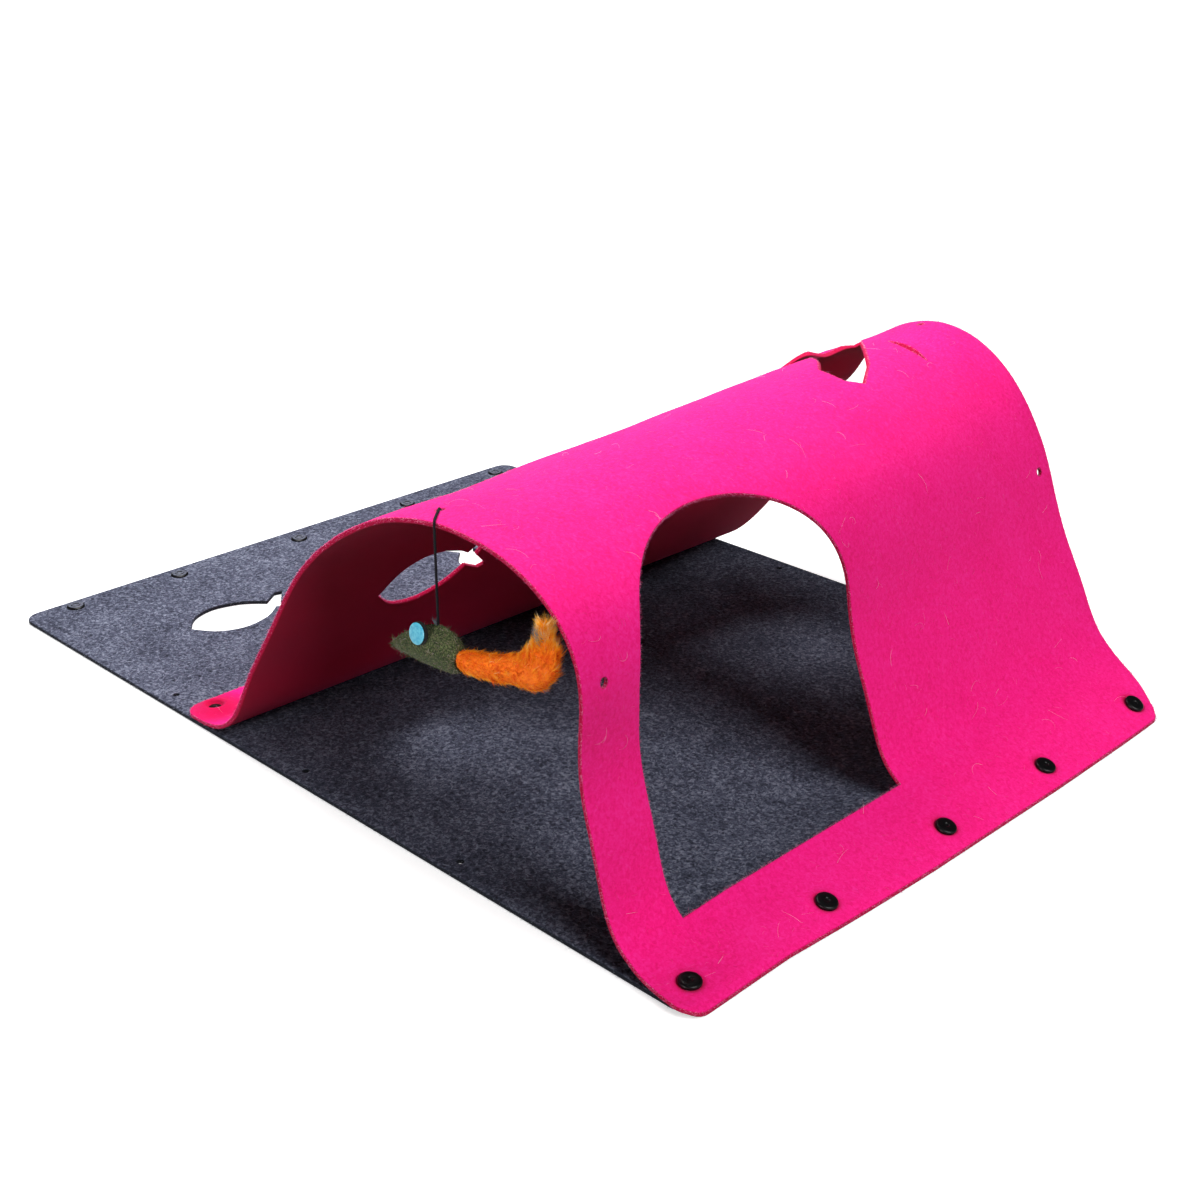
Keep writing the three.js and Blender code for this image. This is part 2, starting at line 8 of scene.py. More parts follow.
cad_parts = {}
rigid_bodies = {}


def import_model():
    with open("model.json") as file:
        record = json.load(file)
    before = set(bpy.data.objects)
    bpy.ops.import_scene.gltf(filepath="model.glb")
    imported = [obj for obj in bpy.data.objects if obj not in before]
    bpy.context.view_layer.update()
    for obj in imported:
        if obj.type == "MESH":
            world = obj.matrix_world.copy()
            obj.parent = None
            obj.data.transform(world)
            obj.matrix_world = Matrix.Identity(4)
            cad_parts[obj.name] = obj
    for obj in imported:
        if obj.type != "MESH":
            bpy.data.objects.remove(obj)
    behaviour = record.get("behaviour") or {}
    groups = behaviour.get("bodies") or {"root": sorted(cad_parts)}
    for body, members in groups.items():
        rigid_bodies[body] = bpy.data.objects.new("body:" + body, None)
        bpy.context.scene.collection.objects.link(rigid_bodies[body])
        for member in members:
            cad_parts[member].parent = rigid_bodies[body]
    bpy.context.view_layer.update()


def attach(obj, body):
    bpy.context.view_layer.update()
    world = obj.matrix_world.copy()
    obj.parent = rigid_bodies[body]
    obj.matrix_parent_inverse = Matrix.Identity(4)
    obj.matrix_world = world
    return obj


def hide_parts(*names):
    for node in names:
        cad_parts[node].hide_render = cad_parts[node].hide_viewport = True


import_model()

# Sizes in millimetres, as in the part's own source; MM turns them to metres
MM = 0.001
MAT_WIDTH = 900
DEPTH = 645
FELT = 4
CLEAR = 0.3
CORNER_RADIUS = 16
HEM_FAR_CORNER = (85, 45, 1.25)  # the hem's far corner runs out on a long slant
FELTS_Y = 10
SNAP_INSET = 18.5
SNAP_SPAN = 891
FOOT_ROW_X = -142.6
HEM_ROW_X = MAT_WIDTH / 2 - SNAP_INSET
SHEET_MID_Z = FELT + CLEAR + FELT / 2

# Slope of the sheet in degrees at even steps of arc, near end and far end
SLOPES_NEAR = [0, 53, 55.4, 56.3, 41.7, 29.2, 9.7, -9.9, -44.5, -92.2, -74.9, -66.5, 0]
SLOPES_FAR = [0, 38, 54.4, 76.5, 64.9, 31.1, 9.1, -29.3, -55.5, -69.6, -61.4, -57.7, 0]

# Sag of the ridge in millimetres, by share of the depth
SAG_SHARES = [0, 0.2, 0.45, 0.75, 0.9, 1]
SAGS = [0, 4.5, 6.5, 8, 9.5, 3]

# Snap rows: the hem's and the foot's caps, and the bare studs at the mat's free edge
FOOT_SNAPS = [(FOOT_ROW_X, -8 + step * 146.5) for step in (-2, -1, 0, 1, 2)]
HEM_SNAPS = [(428.9, -301.8), (434, -161.3), (434.4, -13.4), (436.2, 125.8), (432, 274.8)]
EDGE_STUDS = [(-435, -272), (-431.5, -153), (-425, -4.5), (-424, 147.5), (-431, 290)]
SNAP_RADIUS = 8.75
FOOT_CAP_RADIUS = 6.5
POST_RADIUS = 3
POST_HOLE_RADIUS = 3.35

# What the die cuts: punched holes, small fish, the large ridge fish, a slit and the doorway
SHEET_PUNCHES = [(446, -300), (646, -300), (452, 311), (646, 303)]
SHEET_PUNCH_RADIUS = 3.75
MAT_PUNCHES = [(x, y) for x in (-197, 0, 197) for y in (-307, 307)]
MAT_PUNCH_RADIUS = 3
FISH_BODY = [(0, 0), (15, 20), (32, 29), (48, 31), (68, 26), (80, 19), (92, 8.5)]
FISH_TAIL = [(109, 21.5), (117, 20), (103, 0)]
WALL_FISH = {"x": 198.5, "y": -217, "heading": 81.2}
MAT_FISHES = [
    {"x": -308.5, "y": -219, "heading": 87},
    {"x": -179, "y": 96.6, "heading": 175},
]
RIDGE_FISH = {"x": 258, "y": 100, "heading": 39.7}
RIDGE_FISH_BODY = [(0, 0), (25, 22), (60, 33), (100, 36), (140, 28), (164, 18), (175, 8)]
RIDGE_FISH_TAIL = [
    (181, 45), (180, 91), (191, 107), (201, 118), (220, 117),
    (227, 73), (228, 0), (228, -66), (219, -72), (199, -50),
]
SLIT = {"start": (447, 263), "end": (504, 246), "width": 8, "steps": 12}
DOOR = {"sill": 844, "spring": 668, "middle": -136, "half": 128, "rise": 120, "steps": 44}

# String and toy
STRING_RADIUS = 1.1
STRING_ROUTE = [
    (179.8, -299.4, 278.8), (179.8, -299.4, 280.4), (179.8, -299.4, 282), (180.1, -299.7, 284),
    (180.8, -300.4, 285.7), (182, -301.7, 286.8), (183.4, -303.1, 287.2), (185.6, -305.4, 287.4),
    (188.7, -308.7, 287.9), (192.5, -312.7, 288.4), (195.9, -316.3, 288.9), (198.7, -319.2, 289.3),
    (200.9, -321.5, 289.4), (202.3, -323, 289), (203.5, -324.2, 287.9), (204.2, -325, 286.2),
    (204.5, -325.3, 284.2), (204.5, -325.3, 278), (204.5, -325.3, 266), (204.5, -325.3, 254),
    (204.5, -325.3, 242), (204.5, -325.3, 230), (204.5, -325.3, 220), (204.5, -325.3, 211.3),
]
TOY_Y = -325.3
TOY_BODY = [
    (152, 177.6, 181, 1.5), (158, 176.6, 187, 4), (168, 176.2, 194, 7), (180, 176, 201, 9.2),
    (192, 176.4, 206.6, 10.4), (204.5, 177.2, 210.8, 10.8), (214, 178, 211.2, 10.2),
    (222, 179.6, 208.2, 8.8), (227.5, 182, 202.6, 6.2),
]
TOY_TAIL = [
    (228.7, 192.4, 7.6, 6.2), (240, 193.8, 10, 8.4), (256, 196.4, 10.4, 9), (272, 200.4, 11.4, 9.4),
    (288, 205.4, 13, 10), (301.6, 210, 17.5, 10), (311.4, 219, 16.4, 9.6), (315.4, 230, 11.4, 8.2),
    (316, 240, 6.4, 5.4), (315, 248.4, 2.2, 2),
]
EYE = {"radius": 8.6, "backing": 3, "disc_radius": 8, "disc": 0.84, "dome": 0.3}
EYES = [
    {"name": "front", "side": -1, "x": 195.6, "z": 205, "tilt": 10.5, "off": 8.7},
    {"name": "back", "side": 1, "x": 194, "z": 191, "tilt": 0, "off": 10.5},
]


def metres(point):
    """A point in the felts' millimetres, in metres of the row's frame."""
    return Vector((point[0], point[1] + FELTS_Y, point[2])) * MM


# Camera at the photograph's place
CAMERA_PLACE = Vector((1.0899, -1.0353, 0.7375))
CAMERA_AIM = Vector((-0.6470, 0.6440, -0.4075))
bpy.ops.object.select_all(action="DESELECT")
bpy.ops.object.camera_add(location=CAMERA_PLACE)
camera = bpy.context.object
camera.name = "photo_camera"
camera.rotation_euler = CAMERA_AIM.to_track_quat("-Z", "Y").to_euler()
camera.data.lens = 53.14
camera.data.sensor_width = 36
camera.data.clip_start = 0.01
camera.data.clip_end = 50
bpy.context.scene.camera = camera
bpy.context.scene.view_settings.view_transform = "Standard"


# Colours and materials
def colour(hex_value):
    """An sRGB hex value as linear red, green, blue and alpha."""
    parts = [(hex_value >> shift & 255) / 255 for shift in (16, 8, 0)]
    return (*[c / 12.92 if c <= 0.04045 else ((c + 0.055) / 1.055) ** 2.4 for c in parts], 1)


def fill(node, **inputs):
    """Sets or links a node's inputs, each by its name, or by its number after an underscore."""
    for key, value in inputs.items():
        socket = node.inputs[int(key[1:]) if key[0] == "_" else key.replace("_", " ")]
        if isinstance(value, bpy.types.NodeSocket):
            node.id_data.links.new(value, socket)
        else:
            socket.default_value = value


def add_node(material, kind, settings=None, stops=(), **inputs):
    """Adds a node with its settings and inputs; stops are the places and hex values of a ramp."""
    made = material.node_tree.nodes.new(kind)
    for key, value in (settings or {}).items():
        setattr(made, key, value)
    if stops:
        steps = made.color_ramp.elements
        while len(steps) < len(stops):
            steps.new(0.5)
        for step, (place, hex_value) in zip(steps, stops):
            step.position = place
            step.color = colour(hex_value)
    fill(made, **inputs)
    return made


def new_material(name):
    material = bpy.data.materials.new(name)
    material.use_nodes = True
    return material, material.node_tree.nodes["Principled BSDF"]


CLOUD_MM = 45  # the width of the felts' faint clouds
CLOUD_SHARE = 0.16
FUZZ_MM = 1.4  # the felts' fuzz, drawn coarser than its fibres so that it shows


def felt_material(name, stops, edge, under, fleck_mm, sheen_tint, sheen):
    """Needle-punched felt: matt mottled fibres, a darker packed core on cut edges, a soft sheen. The edge
    colour is also painted round caps as painted shade, and the lower face has its own colour, on the pink
    felt a painted shade.

    The flecks are those of single fibres, drawn some millimetres wide so that they show.
    """
    material, shader = new_material(name)
    place = add_node(material, "ShaderNodeTexCoord").outputs["Object"]
    fleck = add_node(
        material, "ShaderNodeTexNoise", Vector=place, Scale=1 / (fleck_mm * MM), Detail=3.0,
        Roughness=0.65, Distortion=0.8,
    )
    cloud = add_node(
        material, "ShaderNodeTexNoise", Vector=place, Scale=1 / (CLOUD_MM * MM), Detail=2.0,
        Roughness=0.5,
    )
    mottle = add_node(
        material, "ShaderNodeMix", {"data_type": "FLOAT"},
        _0=CLOUD_SHARE, _2=fleck.outputs["Fac"], _3=cloud.outputs["Fac"],
    )
    face = add_node(material, "ShaderNodeValToRGB", stops=stops, Fac=mottle.outputs[0])
    # The lower face takes the under colour: on the pink felt a deeper red, painted shade for the arch's
    # inside, lit only by light bounced off the felt
    lower = add_node(material, "ShaderNodeAttribute", {"attribute_name": "underside"})
    faced = add_node(
        material, "ShaderNodeMix", {"data_type": "RGBA"},
        _0=lower.outputs["Fac"], _6=face.outputs["Color"], _7=colour(under),
    )
    # The edge colour goes on the cut edges, and by the same attribute it is the painted shade round the caps
    cut = add_node(material, "ShaderNodeAttribute", {"attribute_name": "cut_edge_and_painted_shade"})
    base = add_node(
        material, "ShaderNodeMix", {"data_type": "RGBA"},
        _0=cut.outputs["Fac"], _6=faced.outputs[2], _7=colour(edge),
    )
    fuzz = add_node(
        material, "ShaderNodeTexNoise", Vector=place, Scale=1 / (FUZZ_MM * MM), Detail=4.0,
        Roughness=0.7, Distortion=1.2,
    )
    bump = add_node(
        material, "ShaderNodeBump", Strength=0.5, Distance=0.6 * MM, Height=fuzz.outputs["Fac"],
    )
    fill(
        shader, Base_Color=base.outputs[2], Normal=bump.outputs["Normal"], Roughness=0.95,
        Specular_IOR_Level=0.15, Sheen_Weight=sheen, Sheen_Roughness=0.55,
        Sheen_Tint=colour(sheen_tint),
    )
    return material


def plain_material(name, stops, grain_mm, roughness, relief_mm, **sockets):
    """A finish with a fine mottled colour and relief, both at one real scale."""
    material, shader = new_material(name)
    place = add_node(material, "ShaderNodeTexCoord").outputs["Object"]
    grain = add_node(
        material, "ShaderNodeTexNoise", Vector=place, Scale=1 / (grain_mm * MM), Detail=3.0,
        Roughness=0.6,
    )
    base = add_node(material, "ShaderNodeValToRGB", stops=stops, Fac=grain.outputs["Fac"])
    bump = add_node(
        material, "ShaderNodeBump", Strength=0.4, Distance=relief_mm * MM, Height=grain.outputs["Fac"],
    )
    fill(
        shader, Base_Color=base.outputs["Color"], Normal=bump.outputs["Normal"], Roughness=roughness,
        **sockets,
    )
    return material


def fibre_material(name, *tints):
    """Loose fibres, each with its own shade, kept in the piece's shade attribute."""
    material, shader = new_material(name)
    shade = add_node(material, "ShaderNodeAttribute", {"attribute_name": "shade"})
    stops = [(index / (len(tints) - 1), tint) for index, tint in enumerate(tints)]
    base = add_node(material, "ShaderNodeValToRGB", stops=stops, Fac=shade.outputs["Fac"])
    fill(shader, Base_Color=base.outputs["Color"], Roughness=0.8, Specular_IOR_Level=0.2)
    return material


# Dyed felt of one colour: dull and even, barely mottled, crimson where the die has packed it. The crimson is
# also painted round the caps as painted shade, and the lower face is painted a deeper red, the painted shade
# of the arch's inside
PINK_FELT = felt_material(
    "pink needle-punched polyester felt", [(0.3, 0xEE0C6C), (0.5, 0xFC1684), (0.72, 0xFF2C98)],
    edge=0xC80A44, under=0xEC0A3A, fleck_mm=3.0, sheen_tint=0xFF90E0, sheen=0.14,
)
# Heather felt of dark and pale fibres: a salt and pepper grain, nearly black at the cut
GREY_FELT = felt_material(
    "blue-grey heather needle-punched felt", [(0.34, 0x1C1E26), (0.5, 0x484B5C), (0.68, 0x868B9C)],
    edge=0x1A1C22, under=0x484B5C, fleck_mm=3.2, sheen_tint=0x8890B0, sheen=0.12,
)
# Moulded acetal: black and smooth, with a broad dim highlight
SNAP_PLASTIC = plain_material(
    "moulded black acetal resin", [(0.3, 0x040405), (0.7, 0x0B0B0D)], 4, 0.34, 0.05,
    Specular_IOR_Level=0.22,
)
# The same resin on the studs' flat tops, painted grey and dull: a painted reflection of the bright sky
STUD_PLASTIC = plain_material(
    "worn slate grey acetal resin", [(0.3, 0x3E424E), (0.7, 0x6C7080)], 2.5, 0.6, 0.1,
)
# Spun polyester: nearly black and dull, its fibres drawn coarser than they are
CORD_THREAD = plain_material(
    "dark twisted polyester thread", [(0.3, 0x050407), (0.7, 0x17121C)], 0.8, 0.8, 0.2,
    Specular_IOR_Level=0.2,
)
# Woven wool of mixed yarns: olive with dark, brown and light flecks, a thread wide
TOY_FELT = plain_material(
    "olive green flecked tweed",
    [(0.38, 0x141A0C), (0.46, 0x34441E), (0.54, 0x46522A), (0.6, 0x6E5E50), (0.66, 0x6E9048)],
    1.2, 0.95, 0.6,
)
# Dyed backing cloth: plain orange between the roots of the fur
TAIL_CORE = plain_material(
    "orange fur backing cloth", [(0.3, 0xE05800), (0.7, 0xFF8C10)], 3, 0.95, 0.4,
)
# Die-cut foam rubber: black without any shine
EYE_FOAM = plain_material("black foam rubber", [(0.3, 0x030304), (0.7, 0x0C0C0E)], 0.6, 0.9, 0.1)
# Foil pressed on card: pale blue, a little creased, with a soft highlight
EYE_FOIL = plain_material(
    "pale blue foil on card", [(0.3, 0x2CB4DC), (0.7, 0x74DCF4)], 2.5, 0.3, 0.1,
)
# A floor lit from below: it burns out to white and keeps only the nearest shadows
FLOOR_PAINT = plain_material(
    "pale backlit studio floor", [(0.3, 0xE6E6E6), (0.7, 0xEEEEEE)], 400, 0.9, 0.1,
    Emission_Color=(1, 1, 1, 1), Emission_Strength=0.62,
)
# Drawn fibres stand free of the felt: they catch more light than it does
PINK_FIBRE = fibre_material("loose pink polyester fibre", 0xE01068, 0xFF70B8)
# At the cut they are frayed and painted paler and greyer pink: painted light, the glow of the lit fuzz along
# the rim
RIM_FIBRE = fibre_material("loose pink polyester fibre at the cut edges", 0xD83880, 0xFF9CCC)
# Undyed fibres that were carded in by chance: near white strokes
PALE_FIBRE = fibre_material("loose undyed polyester fibre", 0xF890C0, 0xFFD8EC)
# The mat's fibres keep the two greys of their mix
GREY_FIBRE = fibre_material("loose grey polyester fibre", 0x2A2D36, 0x969CA8)
# Dyed rabbit fur: deep orange at the root, yellow to cream at the tips
ORANGE_FUR = fibre_material("short orange rabbit fur", 0xE85000, 0xFF8A08, 0xFFB828, 0xFFF0C8)
# Wool ends that stand out of the tweed: the greens and browns of its yarns
TWEED_FIBRE = fibre_material("loose tweed wool", 0x2C3A18, 0x5C7838, 0x8A7464, 0xC4B4AC)


def adopt(piece, node):
    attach(piece, "root")
    if node:
        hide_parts(node)


def make_piece(name, vertices, faces, material, node, slot):
    """A mesh piece that rides with the object, in place of a node of the frame if one is named."""
    mesh = bpy.data.meshes.new(name)
    mesh.from_pydata([tuple(v) for v in vertices], [], [tuple(f) for f in faces])
    mesh.materials.append(material)
    piece = bpy.data.objects.new(name, mesh)
    bpy.context.scene.collection.objects.link(piece)
    adopt(piece, node)
    return piece


def add_attribute(piece, label, values):
    attribute = piece.data.attributes.new(label, "FLOAT", "POINT")
    attribute.data.foreach_set("value", values.astype(np.float32))


def smooth_all(piece):
    piece.data.polygons.foreach_set("use_smooth", [True] * len(piece.data.polygons))


def smooth_by_angle(piece, degrees):
    bpy.ops.object.select_all(action="DESELECT")
    piece.select_set(True)
    bpy.context.view_layer.objects.active = piece
    bpy.ops.object.shade_smooth_by_angle(angle=math.radians(degrees))


def spline(points, steps):
    """A smooth line through the points."""
    made = []
    for step in range(steps + 1):
        position = step / steps * (len(points) - 1)
        i = min(int(position), len(points) - 2)
        t = position - i
        four = [points[max(i - 1, 0)], points[i], points[i + 1], points[min(i + 2, len(points) - 1)]]
        p0, p1, p2, p3 = [np.array(p, float) for p in four]
        v0, v1 = (p2 - p0) / 2, (p3 - p1) / 2
        made.append(
            (2 * p1 - 2 * p2 + v0 + v1) * t ** 3 + (-3 * p1 + 3 * p2 - 2 * v0 - v1) * t * t + v0 * t + p1
        )
    return np.array(made)


def ring_faces(rings, sides, closed=False, over=False):
    """Quads between rings of points; closed joins the last ring to the first, over turns them round."""
    faces = []
    for r in range(rings if closed else rings - 1):
        for k in range(sides):
            n, above = (k + 1) % sides, (r + 1) % rings
            face = (r * sides + k, r * sides + n, above * sides + n, above * sides + k)
            faces.append((face[0], *face[:0:-1]) if over else face)
    return faces


# Cord: three twisted threads, over the rim from the knot and down to the toy
THREADS = 3
THREAD_TURNS = 26
STRING_STEPS = 260


def even_line(points, count):
    """Even steps along a smooth line through the points, and the line's length."""
    line = spline(points, 6 * (len(points) - 1))
    lengths = np.concatenate([[0], np.cumsum(np.linalg.norm(np.diff(line, axis=0), axis=1))])
    stops = np.linspace(0, lengths[-1], count)
    return np.column_stack([np.interp(stops, lengths, line[:, k]) for k in range(3)]), lengths[-1]


def twisted_tube(path, radius, sides):
    """A tube whose section has one lobe for each thread, turned along the path."""
    tangents = np.gradient(path, axis=0)
    tangents /= np.linalg.norm(tangents, axis=1)[:, None]
    side = np.cross(tangents[0], [0.0, 1.0, 0.3])
    side /= np.linalg.norm(side)
    vertices = []
    for i, (centre, tangent) in enumerate(zip(path, tangents)):
        side = side - tangent * side.dot(tangent)
        side /= np.linalg.norm(side)
        other = np.cross(tangent, side)
        twist = 2 * math.pi * THREAD_TURNS * i / (len(path) - 1)
        for k in range(sides):
            turn = 2 * math.pi * k / sides
            reach = radius * (0.86 + 0.14 * math.cos(THREADS * (turn - twist)))
            vertices.append(centre + reach * (math.cos(turn) * side + math.sin(turn) * other))
    faces = ring_faces(len(path), sides)
    faces.append(tuple(range(sides - 1, -1, -1)))
    faces.append(tuple(range((len(path) - 1) * sides, len(path) * sides)))
    return vertices, faces


string_line, string_length = even_line([tuple(metres(p)) for p in STRING_ROUTE], STRING_STEPS)
string_piece = make_piece(
    "hanging_string", *twisted_tube(string_line, STRING_RADIUS * MM, 12), CORD_THREAD,
    "toy_string", "string_cord",
)
smooth_by_angle(string_piece, 80)

KNOT_STEPS = 96
KNOT_SIZE = 1.25
KNOT_RISE = 1.7
KNOT_THREAD = 1.15
KNOT_DROP = CLEAR + 3


def knot_line():
    """A trefoil, as an overhand knot lies when it is pulled tight."""
    centre = metres(STRING_ROUTE[0]) - Vector((0, 0, KNOT_DROP * MM))
    points = []
    for i in range(KNOT_STEPS):
        t = 2 * math.pi * i / KNOT_STEPS
        points.append(
            centre + Vector((
                (math.sin(t) + 2 * math.sin(2 * t)) * KNOT_SIZE,
                (math.cos(t) - 2 * math.cos(2 * t)) * KNOT_SIZE,
                -math.sin(3 * t) * KNOT_RISE,
            )) * MM
        )
    return np.array([tuple(p) for p in points])


def closed_tube(path, radius, sides):
    vertices = []
    for i in range(len(path)):
        tangent = path[(i + 1) % len(path)] - path[i - 1]
        tangent /= np.linalg.norm(tangent)
        side = np.cross(tangent, [0.0, 0.0, 1.0])
        side /= np.linalg.norm(side)
        other = np.cross(side, tangent)
        for k in range(sides):
            turn = 2 * math.pi * k / sides
            vertices.append(path[i] + radius * (math.cos(turn) * side + math.sin(turn) * other))
    return vertices, ring_faces(len(path), sides, closed=True, over=True)


knot_piece = make_piece(
    "string_end_knot", *closed_tube(knot_line(), KNOT_THREAD * MM, 10), CORD_THREAD, "string_knot",
    "string_cord",
)
smooth_by_angle(knot_piece, 80)


# The arch: how a point of the flat sheet lies in the standing sheet
SMOOTHING_ROUNDS = 60


def smooth_slopes(values):
    slopes = [0.0] * len(values)
    for _ in range(SMOOTHING_ROUNDS):
        for i in range(1, len(values) - 1):
            slopes[i] = (3 * (values[i + 1] - values[i - 1]) - slopes[i - 1] - slopes[i + 1]) / 4
    return slopes


def arch_profile(degrees):
    """Place and slope at each millimetre of arc between the two snap rows."""
    values = [math.radians(d) for d in degrees]
    slopes = smooth_slopes(values)
    stations = []
    x, z = FOOT_ROW_X, SHEET_MID_Z
    for arc in range(SNAP_SPAN + 1):
        position = arc / SNAP_SPAN * (len(values) - 1)
        i = min(int(position), len(values) - 2)
        t = position - i
        angle = (
            (1 + 2 * t) * (1 - t) ** 2 * values[i] + t * t * (3 - 2 * t) * values[i + 1]
            + t * (1 - t) ** 2 * slopes[i] + t * t * (t - 1) * slopes[i + 1]
        )
        stations.append((x, z, angle))
        x += math.cos(angle)
        z += math.sin(angle)
    made = np.array(stations)
    share = np.arange(SNAP_SPAN + 1) / SNAP_SPAN
    made[:, 0] += (HEM_ROW_X - made[-1, 0]) * share
    made[:, 1] += (SHEET_MID_Z - made[-1, 1]) * share
    return made


NEAR_ARCH = arch_profile(SLOPES_NEAR)
FAR_ARCH = arch_profile(SLOPES_FAR)

HEM_TILT = (15, 29)  # degrees at the snap row, near end and far end
HEM_RUN = 120  # how far in from the row the felts are lifted
SHEET_EASE = [(0, 0.25), (0.04, 0.5), (0.16, 1)]  # the bow fades out toward the near end
MAT_EASE = [(0, 0), (0.12, 0), (0.3, 1)]


def hem_bow(inward, share, ease):
    """The snaps hold both felts, and the pull of the arch tilts them there: their rise and slope."""
    tilt = HEM_TILT[0] + (HEM_TILT[1] - HEM_TILT[0]) * np.clip(share, 0, 1)
    steep = np.tan(np.radians(tilt)) * np.interp(share, *zip(*ease))
    rise = steep * SNAP_INSET / 2
    t = np.clip(1 + inward / HEM_RUN, 0, 1)
    inner = rise * (3 * t * t - 2 * t ** 3) + steep * HEM_RUN * (t * t - t ** 3)
    inner_slope = (rise * 6 * (t - t * t) + steep * HEM_RUN * (2 * t - 3 * t * t)) / HEM_RUN
    out = np.clip(inward, 0, SNAP_INSET)
    outer = rise - steep * (out - out * out / (2 * SNAP_INSET))
    outer_slope = -steep * (1 - out / SNAP_INSET)
    return np.where(inward < 0, inner, outer), np.where(inward < 0, inner_slope, outer_slope)


def sag_at(share):
    """How far the ridge sags at a share of the depth, eased between the given places."""
    held = np.clip(share, 0, 1)
    shares, sags = np.array(SAG_SHARES), np.array(SAGS, float)
    index = np.clip(np.searchsorted(shares, held) - 1, 0, len(SAGS) - 2)
    t = (held - shares[index]) / (shares[index + 1] - shares[index])
    return sags[index] + (sags[index + 1] - sags[index]) * t * t * (3 - 2 * t)


def arch_points(flat):
    """Bends flat points (arc, y, height off the middle) into the arch, in metres."""
    arc, y, off = flat[..., 0], flat[..., 1], flat[..., 2]
    share = y / DEPTH + 0.5
    inside = np.clip(arc, 0, SNAP_SPAN)
    steps = np.arange(SNAP_SPAN + 1)
    near = [np.interp(inside, steps, NEAR_ARCH[:, k]) for k in range(3)]
    far = [np.interp(inside, steps, FAR_ARCH[:, k]) for k in range(3)]
    x, z, angle = [a + (b - a) * share for a, b in zip(near, far)]
    z = z - sag_at(share) * np.sin(np.pi * inside / SNAP_SPAN) ** 2
    lift, climb = hem_bow(arc - SNAP_SPAN, share, SHEET_EASE)
    z = z + lift
    angle = np.arctan2(np.sin(angle) + climb, np.cos(angle))
    x = x + (arc - inside) - off * np.sin(angle)
    z = z + off * np.cos(angle)
    return np.stack([x, y + FELTS_Y, z], axis=-1) * MM


def mat_points(flat):
    """Lays flat points on the floor, lifted at the hem's snaps, in metres."""
    x, y, off = flat[..., 0], flat[..., 1], flat[..., 2]
    lift, climb = hem_bow(x - HEM_ROW_X, y / DEPTH + 0.5, MAT_EASE)
    angle = np.arctan(climb)
    z = FELT / 2 + lift + off * np.cos(angle)
    return np.stack([x - off * np.sin(angle), y + FELTS_Y, z], axis=-1) * MM


def snap_lean(x, y):
    """The rise and the tilt of a hem snap."""
    lift, climb = hem_bow(np.array(x - HEM_ROW_X), y / DEPTH + 0.5, SHEET_EASE)
    return float(lift), -math.atan(float(climb))


def hem_holes(side):
    """Where the posts of the tilted hem snaps pass the upper felt (side 1) or the mat (side -1)."""
    reach = (FELT + CLEAR) / 2
    return [(x + side * reach * math.sin(snap_lean(x, y)[1]), y) for x, y in HEM_SNAPS]


def on_sheet(places):
    """Places at the hem, from the mat's lengths to the sheet's."""
    return [(SNAP_SPAN + x - HEM_ROW_X, y) for x, y in places]


# Outlines of what is cut, as lists of flat points in millimetres
def circle(x, y, radius, sides=20):
    turns = [2 * math.pi * k / sides for k in range(sides)]
    return [(x + radius * math.cos(turn), y + radius * math.sin(turn)) for turn in turns]


def laid(points, place):
    turn = math.radians(place["heading"])
    return [
        (place["x"] + p[0] * math.cos(turn) + p[1] * math.sin(turn),
         place["y"] + p[0] * math.sin(turn) - p[1] * math.cos(turn))
        for p in points
    ]


def small_fish(place):
    side = [tuple(p) for p in spline(FISH_BODY, 24)] + FISH_TAIL
    return laid(side + [(p[0], -p[1]) for p in reversed(side[1:-1])], place)


def ridge_fish():
    side = [tuple(p) for p in spline(RIDGE_FISH_BODY, 30)]
    return laid(side + RIDGE_FISH_TAIL + [(p[0], -p[1]) for p in reversed(side[1:])], RIDGE_FISH)


def by_ridge_fish(points):
    """How far flat points lie along the ridge fish from its nose, and aside of its middle line."""
    turn = math.radians(RIDGE_FISH["heading"])
    ahead, further = points[:, 0] - RIDGE_FISH["x"], points[:, 1] - RIDGE_FISH["y"]
    along = ahead * math.cos(turn) + further * math.sin(turn)
    return along, ahead * math.sin(turn) - further * math.cos(turn)


def slit_line():
    start, end = np.array(SLIT["start"], float), np.array(SLIT["end"], float)
    return start, end, (end - start) / np.linalg.norm(end - start)


def slit():
    start, end, along = slit_line()
    aside = np.array([-along[1], along[0]])
    made = []
    for sign, a, b in ((-1, start, end), (1, end, start)):
        for k in range(SLIT["steps"]):
            t = k / SLIT["steps"]
            made.append(tuple(a + (b - a) * t + sign * aside * SLIT["width"] / 2 * math.sin(math.pi * t)))
    return made


def doorway():
    made = [(DOOR["sill"], DOOR["middle"] - DOOR["half"]), (DOOR["sill"], DOOR["middle"] + DOOR["half"])]
    for k in range(DOOR["steps"] + 1):
        turn = k / DOOR["steps"] * math.pi
        made.append((
            DOOR["spring"] - DOOR["rise"] * math.sin(turn), DOOR["middle"] + DOOR["half"] * math.cos(turn),
        ))
    return made


# What the cuts do below the upper face of the felt
SLANT = 3.2  # how far the ridge fish's lower edge lies into its hole
SLANT_RUN = (25, 65)  # from the nose: where the slant begins and where it is whole
SLIT_OPEN = 0.3  # the share of the slit's width that is left below


def slanted(loop):
    """The ridge fish's lower edge."""
    along, _ = by_ridge_fish(loop)
    return loop - turned_left(loop) * (SLANT * np.interp(along, SLANT_RUN, [0, 1]))[:, None]


def nearly_closed(loop):
    """The slit's lower edge."""
    start, _, along = slit_line()
    foot = start + ((loop - start) @ along)[:, None] * along
    return foot + (loop - foot) * SLIT_OPEN


CORNER_STEPS = 8
HEM_STEPS = 21
CREEP_FADE = 25  # how far in from the hem's edge its creep past the mat reaches
NEAR_CORNER_SPAN = 60  # the hem's near corner also reaches past the mat's end, over this length


def signed_power(value, power):
    return math.copysign(abs(value) ** power, value)


